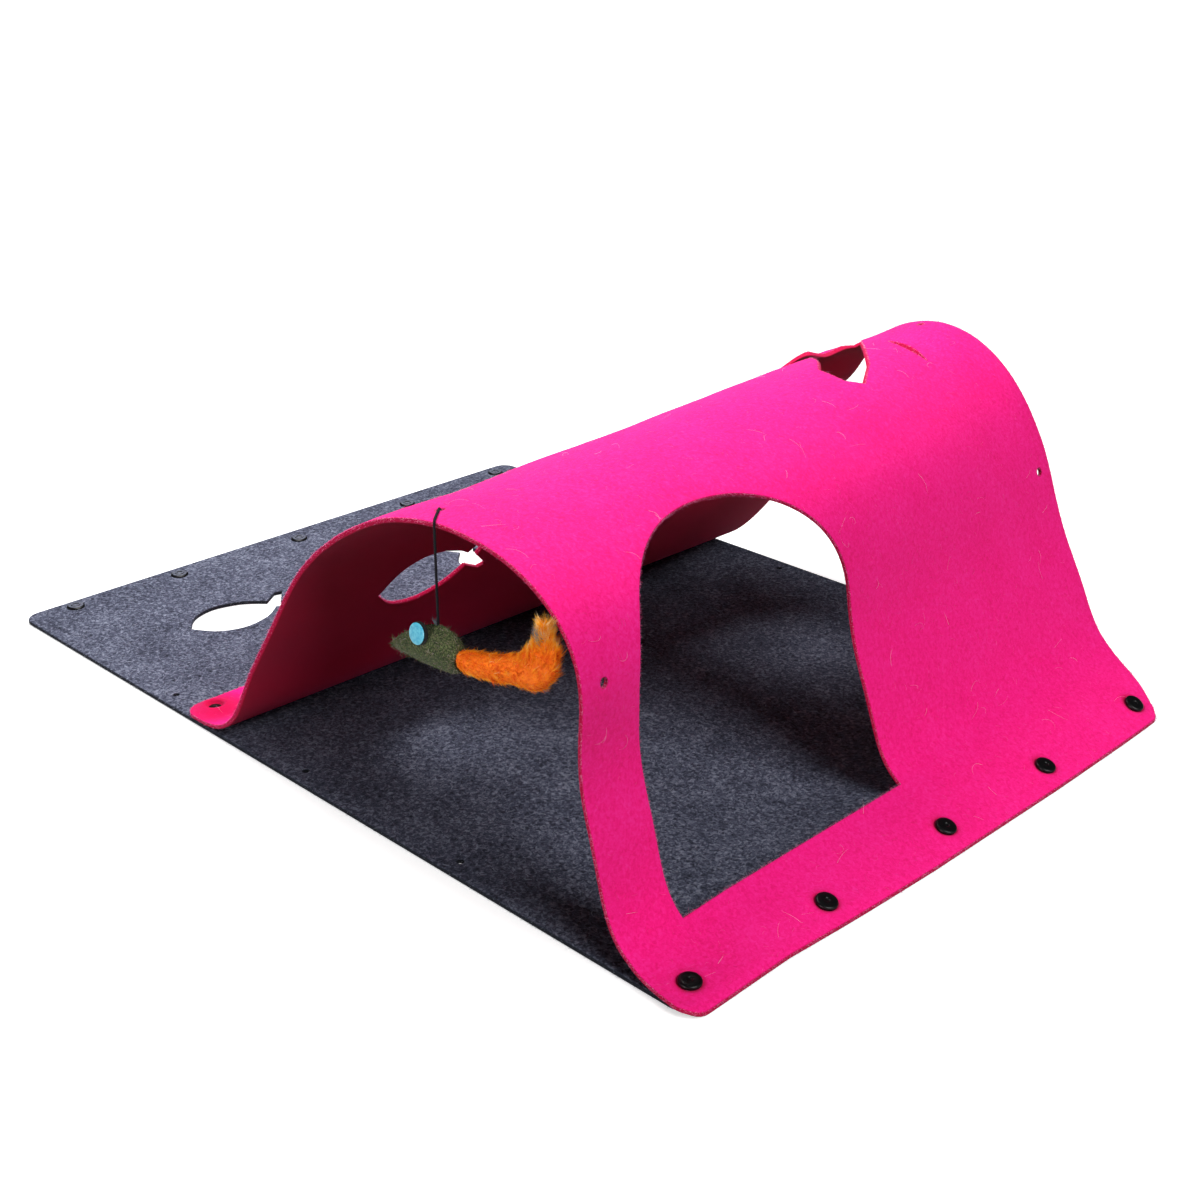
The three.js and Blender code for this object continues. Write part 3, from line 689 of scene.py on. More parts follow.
def rounded_sheet(low, high, creep=((0, 0), (1, 0))):
    """The outer cut of a felt between two lengths, with its four corners.

    creep gives how far the hem's edge reaches beyond high, by place along it.
    """
    made = []
    plain = (CORNER_RADIUS, CORNER_RADIUS, 1)
    corners = [(high, 1, 0, HEM_FAR_CORNER), (low, 1, 1, plain), (low, -1, 2, plain), (high, -1, 3, plain)]
    for x, side, quarter, (reach_x, reach_y, slant) in corners:
        centre_x = x - reach_x if x == high else x + reach_x
        centre_y = side * (DEPTH / 2 - reach_y)
        if quarter == 3:
            made.append((x - NEAR_CORNER_SPAN, side * DEPTH / 2))
        for k in range(CORNER_STEPS + 1):
            turn = (quarter + k / CORNER_STEPS) * math.pi / 2
            made.append((
                centre_x + reach_x * signed_power(math.cos(turn), slant),
                centre_y + reach_y * signed_power(math.sin(turn), slant),
            ))
    hem = np.linspace(CORNER_RADIUS - DEPTH / 2, DEPTH / 2 - HEM_FAR_CORNER[1], HEM_STEPS + 1)
    made += [(high, y) for y in hem[1:-1]]
    near_creep = creep[0][1]
    moved = []
    for x, y in made:
        near = (y < 0) * min(1, (y / DEPTH * 2) ** 8)
        moved.append((
            x + np.interp(y, *zip(*creep)) * max(0, 1 - (high - x) / CREEP_FADE),
            y - near_creep * max(0, 1 - (high - x) / NEAR_CORNER_SPAN) * near,
        ))
    return moved


def stepped(outline, step):
    """The outline with points at most one step apart."""
    made = []
    for a, b in zip(outline, outline[1:] + outline[:1]):
        a, b = np.array(a, float), np.array(b, float)
        count = max(1, math.ceil(np.linalg.norm(b - a) / step))
        made += [a + (b - a) * k / count for k in range(count)]
    return np.array(made)


def turned_left(loop):
    """The loop's side directions, to the left of travel, longer at a corner."""
    ahead = np.roll(loop, -1, axis=0) - loop
    ahead /= np.linalg.norm(ahead, axis=1)[:, None]
    back = np.roll(ahead, 1, axis=0)
    left = np.stack([-ahead[:, 1] - back[:, 1], ahead[:, 0] + back[:, 0]], axis=1)
    size = np.linalg.norm(left, axis=1)[:, None]
    left = np.where(size > 0.2, left / np.maximum(size, 0.2), left)
    lean = np.maximum((left * np.stack([-ahead[:, 1], ahead[:, 0]], axis=1)).sum(axis=1), 0.6)
    return left / lean[:, None]


def area_of(loop):
    after = np.roll(loop, -1, axis=0)
    return 0.5 * float(np.sum(loop[:, 0] * after[:, 1] - after[:, 0] * loop[:, 1]))


def wound(loop, sign):
    return loop if area_of(loop) * sign > 0 else loop[::-1]


def within(points, loops):
    """Which points have an odd number of loop edges to their right."""
    odd = np.zeros(len(points), bool)
    for loop in loops:
        for a, b in zip(loop, np.roll(loop, -1, axis=0)):
            if a[1] == b[1]:
                continue
            crosses = (points[:, 1] < a[1]) != (points[:, 1] < b[1])
            at = a[0] + (points[:, 1] - a[1]) / (b[1] - a[1]) * (b[0] - a[0])
            odd ^= crosses & (points[:, 0] < at)
    return odd


# The felts: both faces from one flat mesh, and the cut edges between them
FELT_STEP = 3.6  # along the cuts
ROW_SHARE = 0.866  # the rows of an even triangle mesh, by its pitch
EDGE_GAP = 2.2  # between the cuts and the mesh inside them
PRESS_RINGS = (-1.5, 0.2, 1.5, 3, 4.8, 7, 9.5, 12.5)  # beyond the cap's radius
PRESS_REACH = 14  # beyond it too, where the even mesh begins
PRESS_SIDES = 36
BATCH = 4000  # points measured at a time
SLIVER = 0.02  # twice the area of a triangle that is too thin to keep
# Painted shade by distance beyond a cap's radius: a dark ring round the hem's caps, and round the foot's caps
# a wider darkening that paints the arch's shadow on the flange
HEM_CAP_PAINTED_SHADE = [(0, 0.95), (1.1, 0.8), (2.4, 0.3), (6, 0)]
FOOT_FLANGE_PAINTED_SHADOW = [(0, 1), (1.5, 0.95), (4, 0.85), (14, 0.75), (30, 0)]
EDGE_ROUND = 0.9  # how far the cut edge of the felt is rounded over
EDGE_PROFILE = [(0.7, 0.93), (1.0, 0.62), (1.08, 0.0), (1.0, -0.62), (0.7, -0.93)]  # outward, up
FULL_CUT = 0.9  # nearer the middle than this, the edge is all packed core
ROLLED_CUT = 0.4  # the share of the core's colour beyond it


def field_points(outer, insides, pitch, pressed):
    """An even field of points inside the cuts, with finer rings round the pressed places."""
    low, high = outer.min(axis=0), outer.max(axis=0)
    rows = np.arange(low[1] + pitch / 2, high[1], pitch * ROW_SHARE)
    field = np.array([
        (x + (pitch / 2 if k % 2 else 0), y)
        for k, y in enumerate(rows) for x in np.arange(low[0] + pitch / 2, high[0], pitch)
    ])
    field = field[within(field, insides)]
    for x, y, radius, _ in pressed:
        field = field[np.hypot(field[:, 0] - x, field[:, 1] - y) > radius + PRESS_REACH]
    for x, y, radius, _ in pressed:
        near = np.array([p for beyond in PRESS_RINGS for p in circle(x, y, radius + beyond, PRESS_SIDES)])
        field = np.concatenate([field, near[within(near, insides)]])
    edge = np.concatenate(insides)
    clear = np.ones(len(field), bool)
    for start in range(0, len(field), BATCH):
        part = field[start:start + BATCH]
        gap = ((part[:, None, :] - edge[None, :, :]) ** 2).sum(axis=2).min(axis=1)
        clear[start:start + BATCH] = gap > EDGE_GAP ** 2
    return field[clear]


def felt_triangles(insides, field):
    """The flat mesh inside the cuts: its points, its triangles and where each given point went."""
    points = np.concatenate(insides + [field])
    edges, at = [], 0
    for loop in insides:
        edges += [(at + k, at + (k + 1) % len(loop)) for k in range(len(loop))]
        at += len(loop)
    found = geometry.delaunay_2d_cdt([Vector(p) for p in points], edges, [], 0, 1e-6, True)
    flat, triangles = np.array([tuple(v) for v in found[0]]), np.array(found[2])
    ahead, aside = [flat[triangles[:, k]] - flat[triangles[:, 0]] for k in (1, 2)]
    sliver = np.abs(ahead[:, 0] * aside[:, 1] - ahead[:, 1] * aside[:, 0]) < SLIVER
    triangles = triangles[within(flat[triangles].mean(axis=1), insides) & ~sliver]
    return flat, triangles, {source: k for k, group in enumerate(found[3]) for source in group}


def cut_felt(name, outline, holes, bend, pitch, lift, material, node, slot, pressed=(), slants=None):
    """One felt: an even mesh inside its cuts, both faces, and rounded cut edges between them.

    Each of the pressed places is x, y, radius and how dark the felt is painted by distance, a painted shade
    round the caps:
    the mesh is finer there. slants gives some of the holes, by number, the function for their lower edge.
    """
    loops = [wound(stepped(outline, FELT_STEP), 1)] + [wound(stepped(h, FELT_STEP), -1) for h in holes]
    insides = [loop + turned_left(loop) * EDGE_ROUND for loop in loops]
    flat, triangles, place_of = felt_triangles(insides, field_points(loops[0], insides, pitch, pressed))
    half, count = FELT / 2, len(flat)
    sheet = [np.column_stack([flat, np.full(count, height)]) for height in (half, -half)]
    faces = [tuple(t) for t in triangles] + [tuple(t[::-1] + count) for t in triangles]
    # Painted shade round the caps, mixed in with the cut edges' colour
    dark = np.zeros(count)
    for x, y, radius, shades in pressed:
        gap = np.hypot(flat[:, 0] - x, flat[:, 1] - y) - radius
        dark = np.maximum(dark, np.interp(gap, *zip(*shades)))
    cut, under = [dark, np.zeros(count)], [np.zeros(count), np.ones(count)]
    total, at = 2 * count, 0
    for hole, (loop, inside) in enumerate(zip(loops, insides), -1):
        size = len(loop)
        lower_edge = (slants or {}).get(hole)
        slant = lower_edge(loop) - loop if lower_edge else np.zeros((size, 2))
        tops = [place_of[at + k] for k in range(size)]
        sheet[1][tops, :2] += slant
        rows = [tops]
        for out, height in EDGE_PROFILE:
            ring = inside + (loop - inside) * out + slant * (1 - height) / 2
            sheet.append(np.column_stack([ring, np.full(size, half * height)]))
            cut.append(np.full(size, 1.0 if abs(height) < FULL_CUT else ROLLED_CUT))
            under.append(np.full(size, float(height < 0)))
            rows.append(list(range(total, total + size)))
            total += size
        rows.append([k + count for k in tops])
        for upper, lower in zip(rows, rows[1:]):
            faces += [
                (upper[k], lower[k], lower[(k + 1) % size], upper[(k + 1) % size]) for k in range(size)
            ]
        at += size
    sheet = np.concatenate(sheet)
    sheet[:, 2] += lift(sheet)
    piece = make_piece(name, bend(sheet), faces, material, node, slot)
    add_attribute(piece, "cut_edge_and_painted_shade", np.concatenate(cut))
    add_attribute(piece, "underside", np.concatenate(under))
    smooth_all(piece)
    flat_area = area_of(loops[0]) - sum(abs(area_of(h)) for h in loops[1:])
    return piece, flat_area * MM * MM, loops


WAVES = [(90, 3.7, 1), (30, 9.1, 0.35)]  # length, a layer of the noise, share
WAVE_HEIGHT = 1.1
FOOT_PUFF = (5, (FOOT_CAP_RADIUS - 0.5, 9.5, 19))  # height, and where it starts, peaks and ends
HEM_PUFF = (0.9, (SNAP_RADIUS, 11, 17))
FIN_PEAK = (387.5, 218)  # the corner of felt that stands up at the far side of the ridge fish's tail
FIN_LIFT = 6
FIN_REACH = 32
FIN_END = (176, 190)  # along the fish, where the felt drops back beside the tail
SLUMP = {"arc": 332, "y": 322, "reach": (62, 52), "height": -28}  # the far rim of the foot side leans in
BULGE = {"arc": 350, "y": 275, "reach": (45, 35), "height": 9}  # the strip behind the ridge fish
STRIP_EDGE = (30, 60)  # aside of the fish: where the strip begins and where it bulges in full
MAT_SHRINK = 5  # the mat's cut edge under the hem
HEM_CREEP = [  # past the mat, by place along the hem
    (-322, 5), (-225, 3), (-150, 6), (-60, 8), (120, 8), (240, 6), (322, 3),
]
HEM_DROP = 4.2  # down to the floor beyond the mat
DROP_RATE = 0.06


def felt_waves(points):
    """Low waves of the felt."""
    return np.array([
        sum(share * noise.noise(Vector((*p[:2] / length, layer))) for length, layer, share in WAVES)
        for p in points
    ])


def puffed(points, centres, height, rings):
    """The felt swells in a ring round each cap that pulls it down."""
    made = np.zeros(len(points))
    for x, y in centres:
        made += height * np.interp(np.hypot(points[:, 0] - x, points[:, 1] - y), rings, [0, 1, 0])
    return made


def swell(points, form):
    """A soft rise, or a hollow where the height is below nothing."""
    arc = (points[:, 0] - form["arc"]) / form["reach"][0]
    y = (points[:, 1] - form["y"]) / form["reach"][1]
    return form["height"] * np.exp(-arc ** 2 - y ** 2)


def arch_lift(points):
    """How far the sheet stands off its even bend."""
    held = np.sin(np.pi * np.clip(points[:, 0] / SNAP_SPAN, 0, 1)) ** 2
    made = felt_waves(points) * WAVE_HEIGHT * np.clip(held * 1.6, 0, 1)
    made += puffed(points, [(0, y) for _, y in FOOT_SNAPS], *FOOT_PUFF)
    made += puffed(points, on_sheet(hem_holes(1)), *HEM_PUFF)
    along, aside = by_ridge_fish(points)
    gap = np.hypot(points[:, 0] - FIN_PEAK[0], points[:, 1] - FIN_PEAK[1])
    fin = FIN_LIFT * np.exp(-(gap / FIN_REACH) ** 2) * np.interp(along, FIN_END, [1, 0])
    made += np.where(aside < 0, fin, 0) + swell(points, SLUMP)
    made += swell(points, BULGE) * np.interp(-aside, STRIP_EDGE, [0, 1])
    beyond = np.clip(points[:, 0] - SNAP_SPAN - SNAP_INSET + MAT_SHRINK, 0, None)
    return made - HEM_DROP * (1 - np.exp(-DROP_RATE * beyond ** 2 / HEM_DROP))


def no_lift(points):
    return np.zeros(len(points))


def punched(places, radius):
    return [circle(x, y, radius) for x, y in places]


foot_places = [(0, y) for _, y in FOOT_SNAPS]
hem_places = on_sheet(hem_holes(1))
arch_piece, arch_area, arch_loops = cut_felt(
    "arched_felt", rounded_sheet(-SNAP_INSET, SNAP_SPAN + SNAP_INSET, HEM_CREEP),
    [doorway(), small_fish(WALL_FISH), ridge_fish(), slit()]
    + punched(SHEET_PUNCHES, SHEET_PUNCH_RADIUS) + punched(foot_places + hem_places, POST_HOLE_RADIUS),
    arch_points, 6.0, arch_lift, PINK_FELT, "arch_sheet", "pink_felt",
    [(x, y, FOOT_CAP_RADIUS, FOOT_FLANGE_PAINTED_SHADOW) for x, y in foot_places]
    + [(x, y, SNAP_RADIUS, HEM_CAP_PAINTED_SHADE) for x, y in hem_places],
    {2: slanted, 3: nearly_closed},
)
mat_piece, mat_area, mat_loops = cut_felt(
    "flat_felt_mat", rounded_sheet(-MAT_WIDTH / 2, MAT_WIDTH / 2 - MAT_SHRINK),
    [small_fish(place) for place in MAT_FISHES] + punched(MAT_PUNCHES, MAT_PUNCH_RADIUS)
    + punched(EDGE_STUDS + FOOT_SNAPS + hem_holes(-1), POST_HOLE_RADIUS),
    mat_points, 9.0, no_lift, GREY_FELT, "base_mat", "grey_felt",
)


# Snaps and eyes: round pieces, each kind turned once and then copied
TURNED_SIDES = 40
TOP_SLOPE = 0.9  # faces that look up at least this much take the top's material


def turned(name, rows, material, degrees, top=None):
    """A round piece on the upright axis: an extrusion and a resize for each step of its profile."""
    bpy.ops.object.select_all(action="DESELECT")
    bpy.ops.mesh.primitive_circle_add(
        vertices=TURNED_SIDES, radius=rows[0][0] * MM, fill_type="NGON", location=(0, 0, rows[0][1] * MM),
    )
    piece = bpy.context.object
    piece.name = name
    bpy.ops.object.mode_set(mode="EDIT")
    bpy.ops.mesh.select_all(action="SELECT")
    for (radius, height), (next_radius, next_height) in zip(rows, rows[1:]):
        bpy.ops.mesh.extrude_region_move(
            TRANSFORM_OT_translate={"value": (0, 0, (next_height - height) * MM)}
        )
        share = next_radius / radius
        bpy.ops.transform.resize(value=(share, share, 1), center_override=(0, 0, next_height * MM))
    bpy.ops.mesh.select_all(action="SELECT")
    bpy.ops.mesh.normals_make_consistent(inside=False)
    bpy.ops.object.mode_set(mode="OBJECT")
    bpy.ops.object.transform_apply(location=True, rotation=True, scale=True)
    piece.data.materials.append(material)
    if top:
        piece.data.materials.append(top)
        for face in piece.data.polygons:
            face.material_index = int(face.normal.z > TOP_SLOPE)
    smooth_by_angle(piece, degrees)
    return piece


def copied(pattern, name, node, place):
    """A copy of a pattern with its own mesh, moved to its place."""
    piece = pattern.copy()
    piece.data = pattern.data.copy()
    piece.name = piece.data.name = name
    bpy.context.scene.collection.objects.link(piece)
    bpy.ops.object.select_all(action="DESELECT")
    piece.select_set(True)
    bpy.context.view_layer.objects.active = piece
    piece.matrix_world = place
    bpy.ops.object.transform_apply(location=True, rotation=True, scale=True)
    adopt(piece, node)


CAP_SEAT = 2 * FELT + 2 * CLEAR + 0.1
CAP_DOME = [(0, 0.55), (0.2, 0.72), (0.7, 0.86), (1.7, 0.95), (3.2, 1)]  # in from the rim, by height
CAP_DIMPLE = [(2.9, 1), (2.3, 0.97), (1.9, 0.86), (1.1, 0.8), (0.4, 0.79)]  # radius, by height
STUD_ROWS = [
    (POST_RADIUS, CLEAR), (POST_RADIUS, FELT + CLEAR), (8.5, FELT + CLEAR), (8.75, 4.5), (8.75, 5.5),
    (8.3, 5.85), (7.3, 6.4), (5, 6.4), (4.7, 6.5), (4.6, 6.9), (4.3, 7.1), (4, 7.2), (3, 7.2),
    (2.7, 7), (2.5, 6.4), (0.5, 6.3),
]


def cap_rows(radius, height):
    """A low dome on a post, with the moulding dimple in its middle."""
    rows = [(POST_RADIUS, CLEAR), (POST_RADIUS, CAP_SEAT)]
    rows += [(radius - 0.35, CAP_SEAT), (radius, CAP_SEAT + 0.3)]
    rows += [(radius - inward, CAP_SEAT + share * height) for inward, share in CAP_DOME]
    return rows + [(reach, CAP_SEAT + share * height) for reach, share in CAP_DIMPLE]


def snap_place(x, y, lift=0, tilt=0):
    """Where a snap stands. It tilts about the middle between the two felts."""
    pivot = Vector((0, 0, FELT + CLEAR / 2)) * MM
    stand = Matrix.Translation(metres((x, y, lift)) + pivot)
    return stand @ Matrix.Rotation(tilt, 4, "Y") @ Matrix.Translation(-pivot)


SNAP_CREASE = 32  # degrees: sharper edges stay edges
HEM_CAP_HEIGHT = 3.3
FOOT_CAP_HEIGHT = 1.4
hem_cap = turned("hem_cap", cap_rows(SNAP_RADIUS, HEM_CAP_HEIGHT), SNAP_PLASTIC, SNAP_CREASE)
foot_cap = turned("foot_cap", cap_rows(FOOT_CAP_RADIUS - 1, FOOT_CAP_HEIGHT), SNAP_PLASTIC, SNAP_CREASE)
# The studs' upward faces take the grey top, a painted reflection of the sky on the black resin
free_stud = turned("free_stud", STUD_ROWS, SNAP_PLASTIC, SNAP_CREASE, top=STUD_PLASTIC)
for pattern, node, places in (
    (hem_cap, "hem_snap", [snap_place(x, y, *snap_lean(x, y)) for x, y in HEM_SNAPS]),
    (foot_cap, "foot_snap", [snap_place(x, y) for x, y in FOOT_SNAPS]),
    (free_stud, "edge_stud", [snap_place(x, y) for x, y in EDGE_STUDS]),
):
    for number, place in enumerate(places, 1):
        copied(pattern, f"{pattern.name}_{number}", f"{node}_{number}", place)
    bpy.data.meshes.remove(pattern.data)


# Toy: a stuffed body, a fur tail and two eyes
BODY_PINCH = 0.75  # how sharply the body narrows to its seams
BODY_SEAM = 0.06  # the seam's ridge, by the body's height
SEAM_SHARPNESS = 40
CORE_SHARE = 0.8  # the tail's cloth, by the size of its fur
UP = np.array([0.0, 0, 1])
SIDEWAYS = np.array([0, 1, 0])


def oval_skin(centres, ups, halves, depths, sides, pinch=0.0, seam=0.0):
    """A closed skin over oval rings, pinched to a seam above and below if the cloth is sewn there."""
    vertices = []
    for centre, up, half, depth in zip(centres, ups, halves, depths):
        for k in range(sides):
            turn = 2 * math.pi * k / sides
            tall = half * math.cos(turn) * (1 + seam * abs(math.cos(turn)) ** SEAM_SHARPNESS)
            wide = depth * math.sin(turn) * abs(math.sin(turn)) ** pinch
            vertices.append(centre + up * tall + SIDEWAYS * wide)
    rings = len(centres)
    faces = ring_faces(rings, sides, over=True)
    for k in range(sides):
        n = (k + 1) % sides
        faces.append((rings * sides, k, n))
        faces.append((rings * sides + 1, (rings - 1) * sides + n, (rings - 1) * sides + k))
    return np.array(vertices + [centres[0], centres[-1]]), faces


def place_all(points):
    return (points + SIDEWAYS * FELTS_Y) * MM


def middle_line(rows, heights):
    return np.column_stack([rows[:, 0], np.full(len(rows), TOY_Y), heights])


body_rows = spline(TOY_BODY, 40)
body_centres = middle_line(body_rows, (body_rows[:, 1] + body_rows[:, 2]) / 2)
body_halves = (body_rows[:, 2] - body_rows[:, 1]) / 2
body_skin, body_faces = oval_skin(
    body_centres, np.tile(UP, (len(body_rows), 1)), body_halves, body_rows[:, 3], 56,
    BODY_PINCH, BODY_SEAM,
)
body_piece = make_piece("toy_fleece_body", place_all(body_skin), body_faces, TOY_FELT, "toy_body", "toy_felt")
smooth_by_angle(body_piece, 60)

tail_rows = spline(TOY_TAIL, 48)
tail_centres = middle_line(tail_rows, tail_rows[:, 1])
tail_along = np.gradient(tail_centres, axis=0)
tail_along /= np.linalg.norm(tail_along, axis=1)[:, None]
tail_ups = np.column_stack([-tail_along[:, 2], np.zeros(len(tail_along)), tail_along[:, 0]])
tail_skin, tail_faces = oval_skin(
    tail_centres, tail_ups, tail_rows[:, 2] * CORE_SHARE, tail_rows[:, 3] * CORE_SHARE, 28,
)
tail_piece = make_piece("toy_tail_core", place_all(tail_skin), tail_faces, TAIL_CORE, "toy_tail", "toy_fur")
smooth_by_angle(tail_piece, 60)


def eye_rows(radius, thickness, dome):
    """A disc with a rounded rim and a low dome."""
    rim = [(0.96, 0), (1, 0.2), (1, 0.7), (0.95, 0.95)]
    crown = [(0.8, 0.4), (0.5, 0.8), (0.1, 1)]
    rows = [(radius * share, thickness * up) for share, up in rim]
    return rows + [(radius * share, thickness + dome * up) for share, up in crown]


def eye_place(eye, back):
    """On the body's side, tilted with it, with its foot this far out."""
    tilt = math.radians(eye["tilt"])
    out = Vector((0, eye["side"] * math.cos(tilt), math.sin(tilt)))
    foot = metres((eye["x"], TOY_Y + eye["side"] * eye["off"], eye["z"])) + out * back * MM
    return Matrix.Translation(foot) @ out.to_track_quat("Z", "X").to_matrix().to_4x4()


EYE_CREASE = 35
eye_foam = turned("eye_foam", eye_rows(EYE["radius"], EYE["backing"], 0), EYE_FOAM, EYE_CREASE)
eye_foil = turned("eye_foil", eye_rows(EYE["disc_radius"], EYE["disc"], EYE["dome"]), EYE_FOIL, EYE_CREASE)
for eye in EYES:
    side, foil_back = eye["name"], 2 * CLEAR + EYE["backing"]
    copied(eye_foam, f"eye_foam_{side}", f"eye_backing_{side}", eye_place(eye, CLEAR))
    copied(eye_foil, f"eye_foil_{side}", f"eye_disc_{side}", eye_place(eye, foil_back))
for pattern in (eye_foam, eye_foil):
    bpy.data.meshes.remove(pattern.data)


# Loose fibres, as thin three-sided hairs along centre lines
HAIR_TAPER = ([0, 0.6, 1], [1, 0.85, 0.12])  # along the hair, share of its width
FIBRE_SEAT = FELT / 2 - 0.1  # just inside the face, off the felt's middle
RIM_TOP, RIM_BOTTOM, RIM_DEPTH = FIBRE_SEAT, -1.8, 3.6  # where fibres leave a cut edge


def hair_piece(name, lines, widths, shades, guide, material, slot):
    """lines is hairs by stations by xyz in metres, guide a direction near each hair's normal."""
    hairs, stations, _ = lines.shape
    along = np.gradient(lines, axis=1)
    along /= np.maximum(np.linalg.norm(along, axis=2), 1e-9)[..., None]
    side = np.cross(along, guide)
    side /= np.maximum(np.linalg.norm(side, axis=2), 1e-9)[..., None]
    other = np.cross(side, along)
    taper = np.interp(np.arange(stations) / (stations - 1), *HAIR_TAPER)
    reach = widths[:, None, None] * taper[None, :, None] / 2
    corners = []
    for turn in (math.pi / 2, math.pi * 7 / 6, math.pi * 11 / 6):
        corners.append(lines + reach * (math.cos(turn) * side + math.sin(turn) * other))
    vertices = np.stack(corners, axis=2).reshape(-1, 3)
    base = (np.arange(hairs)[:, None] * stations + np.arange(stations - 1)[None, :]) * 3
    faces = []
    for a, b in ((0, 1), (1, 2), (2, 0)):
        faces.append(np.stack([base + a, base + b, base + 3 + b, base + 3 + a], axis=-1).reshape(-1, 4))
    faces = np.concatenate(faces)[:, ::-1]
    piece = make_piece(name, vertices.tolist(), faces.tolist(), material, None, slot)
    shades = np.broadcast_to(shades.reshape(hairs, -1), (hairs, stations))
    add_attribute(piece, "shade", np.repeat(shades.reshape(-1), 3))
    smooth_all(piece)


def curled_lines(starts, headings, lengths, curls, lifts, stations):
    """Flat centre lines that wander and rise off the face, one for each start."""
    t = np.linspace(0, 1, stations)[None, :]
    turn = headings[:, None] + curls[:, None] * t
    step = lengths[:, None] / (stations - 1)
    x = starts[:, 0:1] + np.cumsum(np.cos(turn) * step, axis=1) - np.cos(turn[:, :1]) * step
    y = starts[:, 1:2] + np.cumsum(np.sin(turn) * step, axis=1) - np.sin(turn[:, :1]) * step
    off = FIBRE_SEAT + lifts[:, None] * np.sin(np.pi * np.minimum(t * 1.15, 1))
    return np.stack([x, y, np.broadcast_to(off, x.shape)], axis=-1)


def guide_of(bend, flat):
    """The direction off the face at each station."""
    raised = flat.copy()
    raised[..., 2] += 1
    made = bend(raised) - bend(flat)
    return made / np.linalg.norm(made, axis=2)[..., None]


def on_arch(flat):
    """arch_points for what lies on the sheet, which follows the sheet's own lift."""
    raised = flat.copy()
    raised[..., 2] += arch_lift(flat[..., :2].reshape(-1, 2)).reshape(flat.shape[:-1])
    return arch_points(raised)


def face_fibres(name, seed, count, loops, bend, lengths, width, lift, material, slot):
    """Fibres that lie about on the felt's upper face."""
    dice = np.random.default_rng(seed)
    low, high = loops[0].min(axis=0) + 2, loops[0].max(axis=0) - 2
    starts = low + (high - low) * dice.random((count * 2, 2))
    starts = starts[within(starts, loops)][:count]
    count = len(starts)
    flat = curled_lines(
        starts, dice.random(count) * 2 * math.pi, dice.uniform(*lengths, count), dice.normal(0, 1.6, count),
        dice.uniform(0.2, lift, count), 7,
    )
    hair_piece(
        name, bend(flat), dice.uniform(*width, count) * MM, dice.random(count) ** 1.5, guide_of(bend, flat),
        material, slot,
    )


def edge_fibres(name, seed, loops, bend, spacing, lengths, width, lean, material, slot):
    """Short fibres that stand out of the cut edges, the more of them high up the higher the lean."""
    dice = np.random.default_rng(seed)
    flats = []
    for loop in loops:
        ahead = np.roll(loop, -1, axis=0) - loop
        size = np.linalg.norm(ahead, axis=1)
        count = int(size.sum() / spacing)
        places = dice.random(count) * size.sum()
        index = np.clip(np.searchsorted(np.cumsum(size), places), 0, len(loop) - 1)
        outward = -turned_left(loop)[index]
        heading = np.arctan2(outward[:, 1], outward[:, 0]) + dice.normal(0, 0.7, count)
        start = loop[index] + ahead[index] * dice.random((count, 1))
        reach = dice.uniform(*lengths, count)
        flat = curled_lines(start, heading, reach, dice.normal(0, 1.2, count), dice.uniform(0, 0.8, count), 3)
        heights = RIM_TOP - RIM_DEPTH * dice.random(count)[:, None] ** lean
        flat[..., 2] = heights + (flat[..., 2] - RIM_TOP) * dice.choice([-1, 1], count)[:, None]
        flat[..., 2] = np.maximum(flat[..., 2], RIM_BOTTOM)
        flats.append(flat)
    flat = np.concatenate(flats)
    count = len(flat)
    hair_piece(
        name, bend(flat), dice.uniform(*width, count) * MM, dice.random(count), guide_of(bend, flat),
        material, slot,
    )


for name, seed, count, lengths, width, lift, material in (
    ("pale_stray_fibres", 11, 190, (8, 24), (0.1, 0.2), 2.2, PALE_FIBRE),
    ("pink_face_fibres", 12, 3600, (3, 9), (0.08, 0.18), 0.9, PINK_FIBRE),
):
    face_fibres(name, seed, count, arch_loops, on_arch, lengths, width, lift, material, "pink_felt")
face_fibres(
    "mat_face_fibres", 13, 2600, mat_loops, mat_points, (4, 12), (0.16, 0.32), 1.0, GREY_FIBRE, "grey_felt",
)
# The cut edges' fibres are painted paler pink: painted light along the rim
edge_fibres(
    "pink_edge_fibres", 21, arch_loops, on_arch, 0.4, (0.6, 2.6), (0.12, 0.26), 2.5, RIM_FIBRE, "pink_felt",
)
edge_fibres(
    "mat_edge_fibres", 22, mat_loops, mat_points, 2.2, (0.8, 2.4), (0.12, 0.26), 1, GREY_FIBRE, "grey_felt",
)


# Wool ends of the body's cloth, the tail's fur and the cut ends of the thread
def at_share(t, values):
    """The rows' values at these shares of the way along, by column where there are several."""
    rows = np.arange(len(values)) / (len(values) - 1)
    if values.ndim == 1:
        return np.interp(t, rows, values)
    return np.column_stack([np.interp(t, rows, values[:, k]) for k in range(values.shape[1])])


def every_station(directions, stations):
    return np.repeat(directions[:, None, :], stations, axis=1)


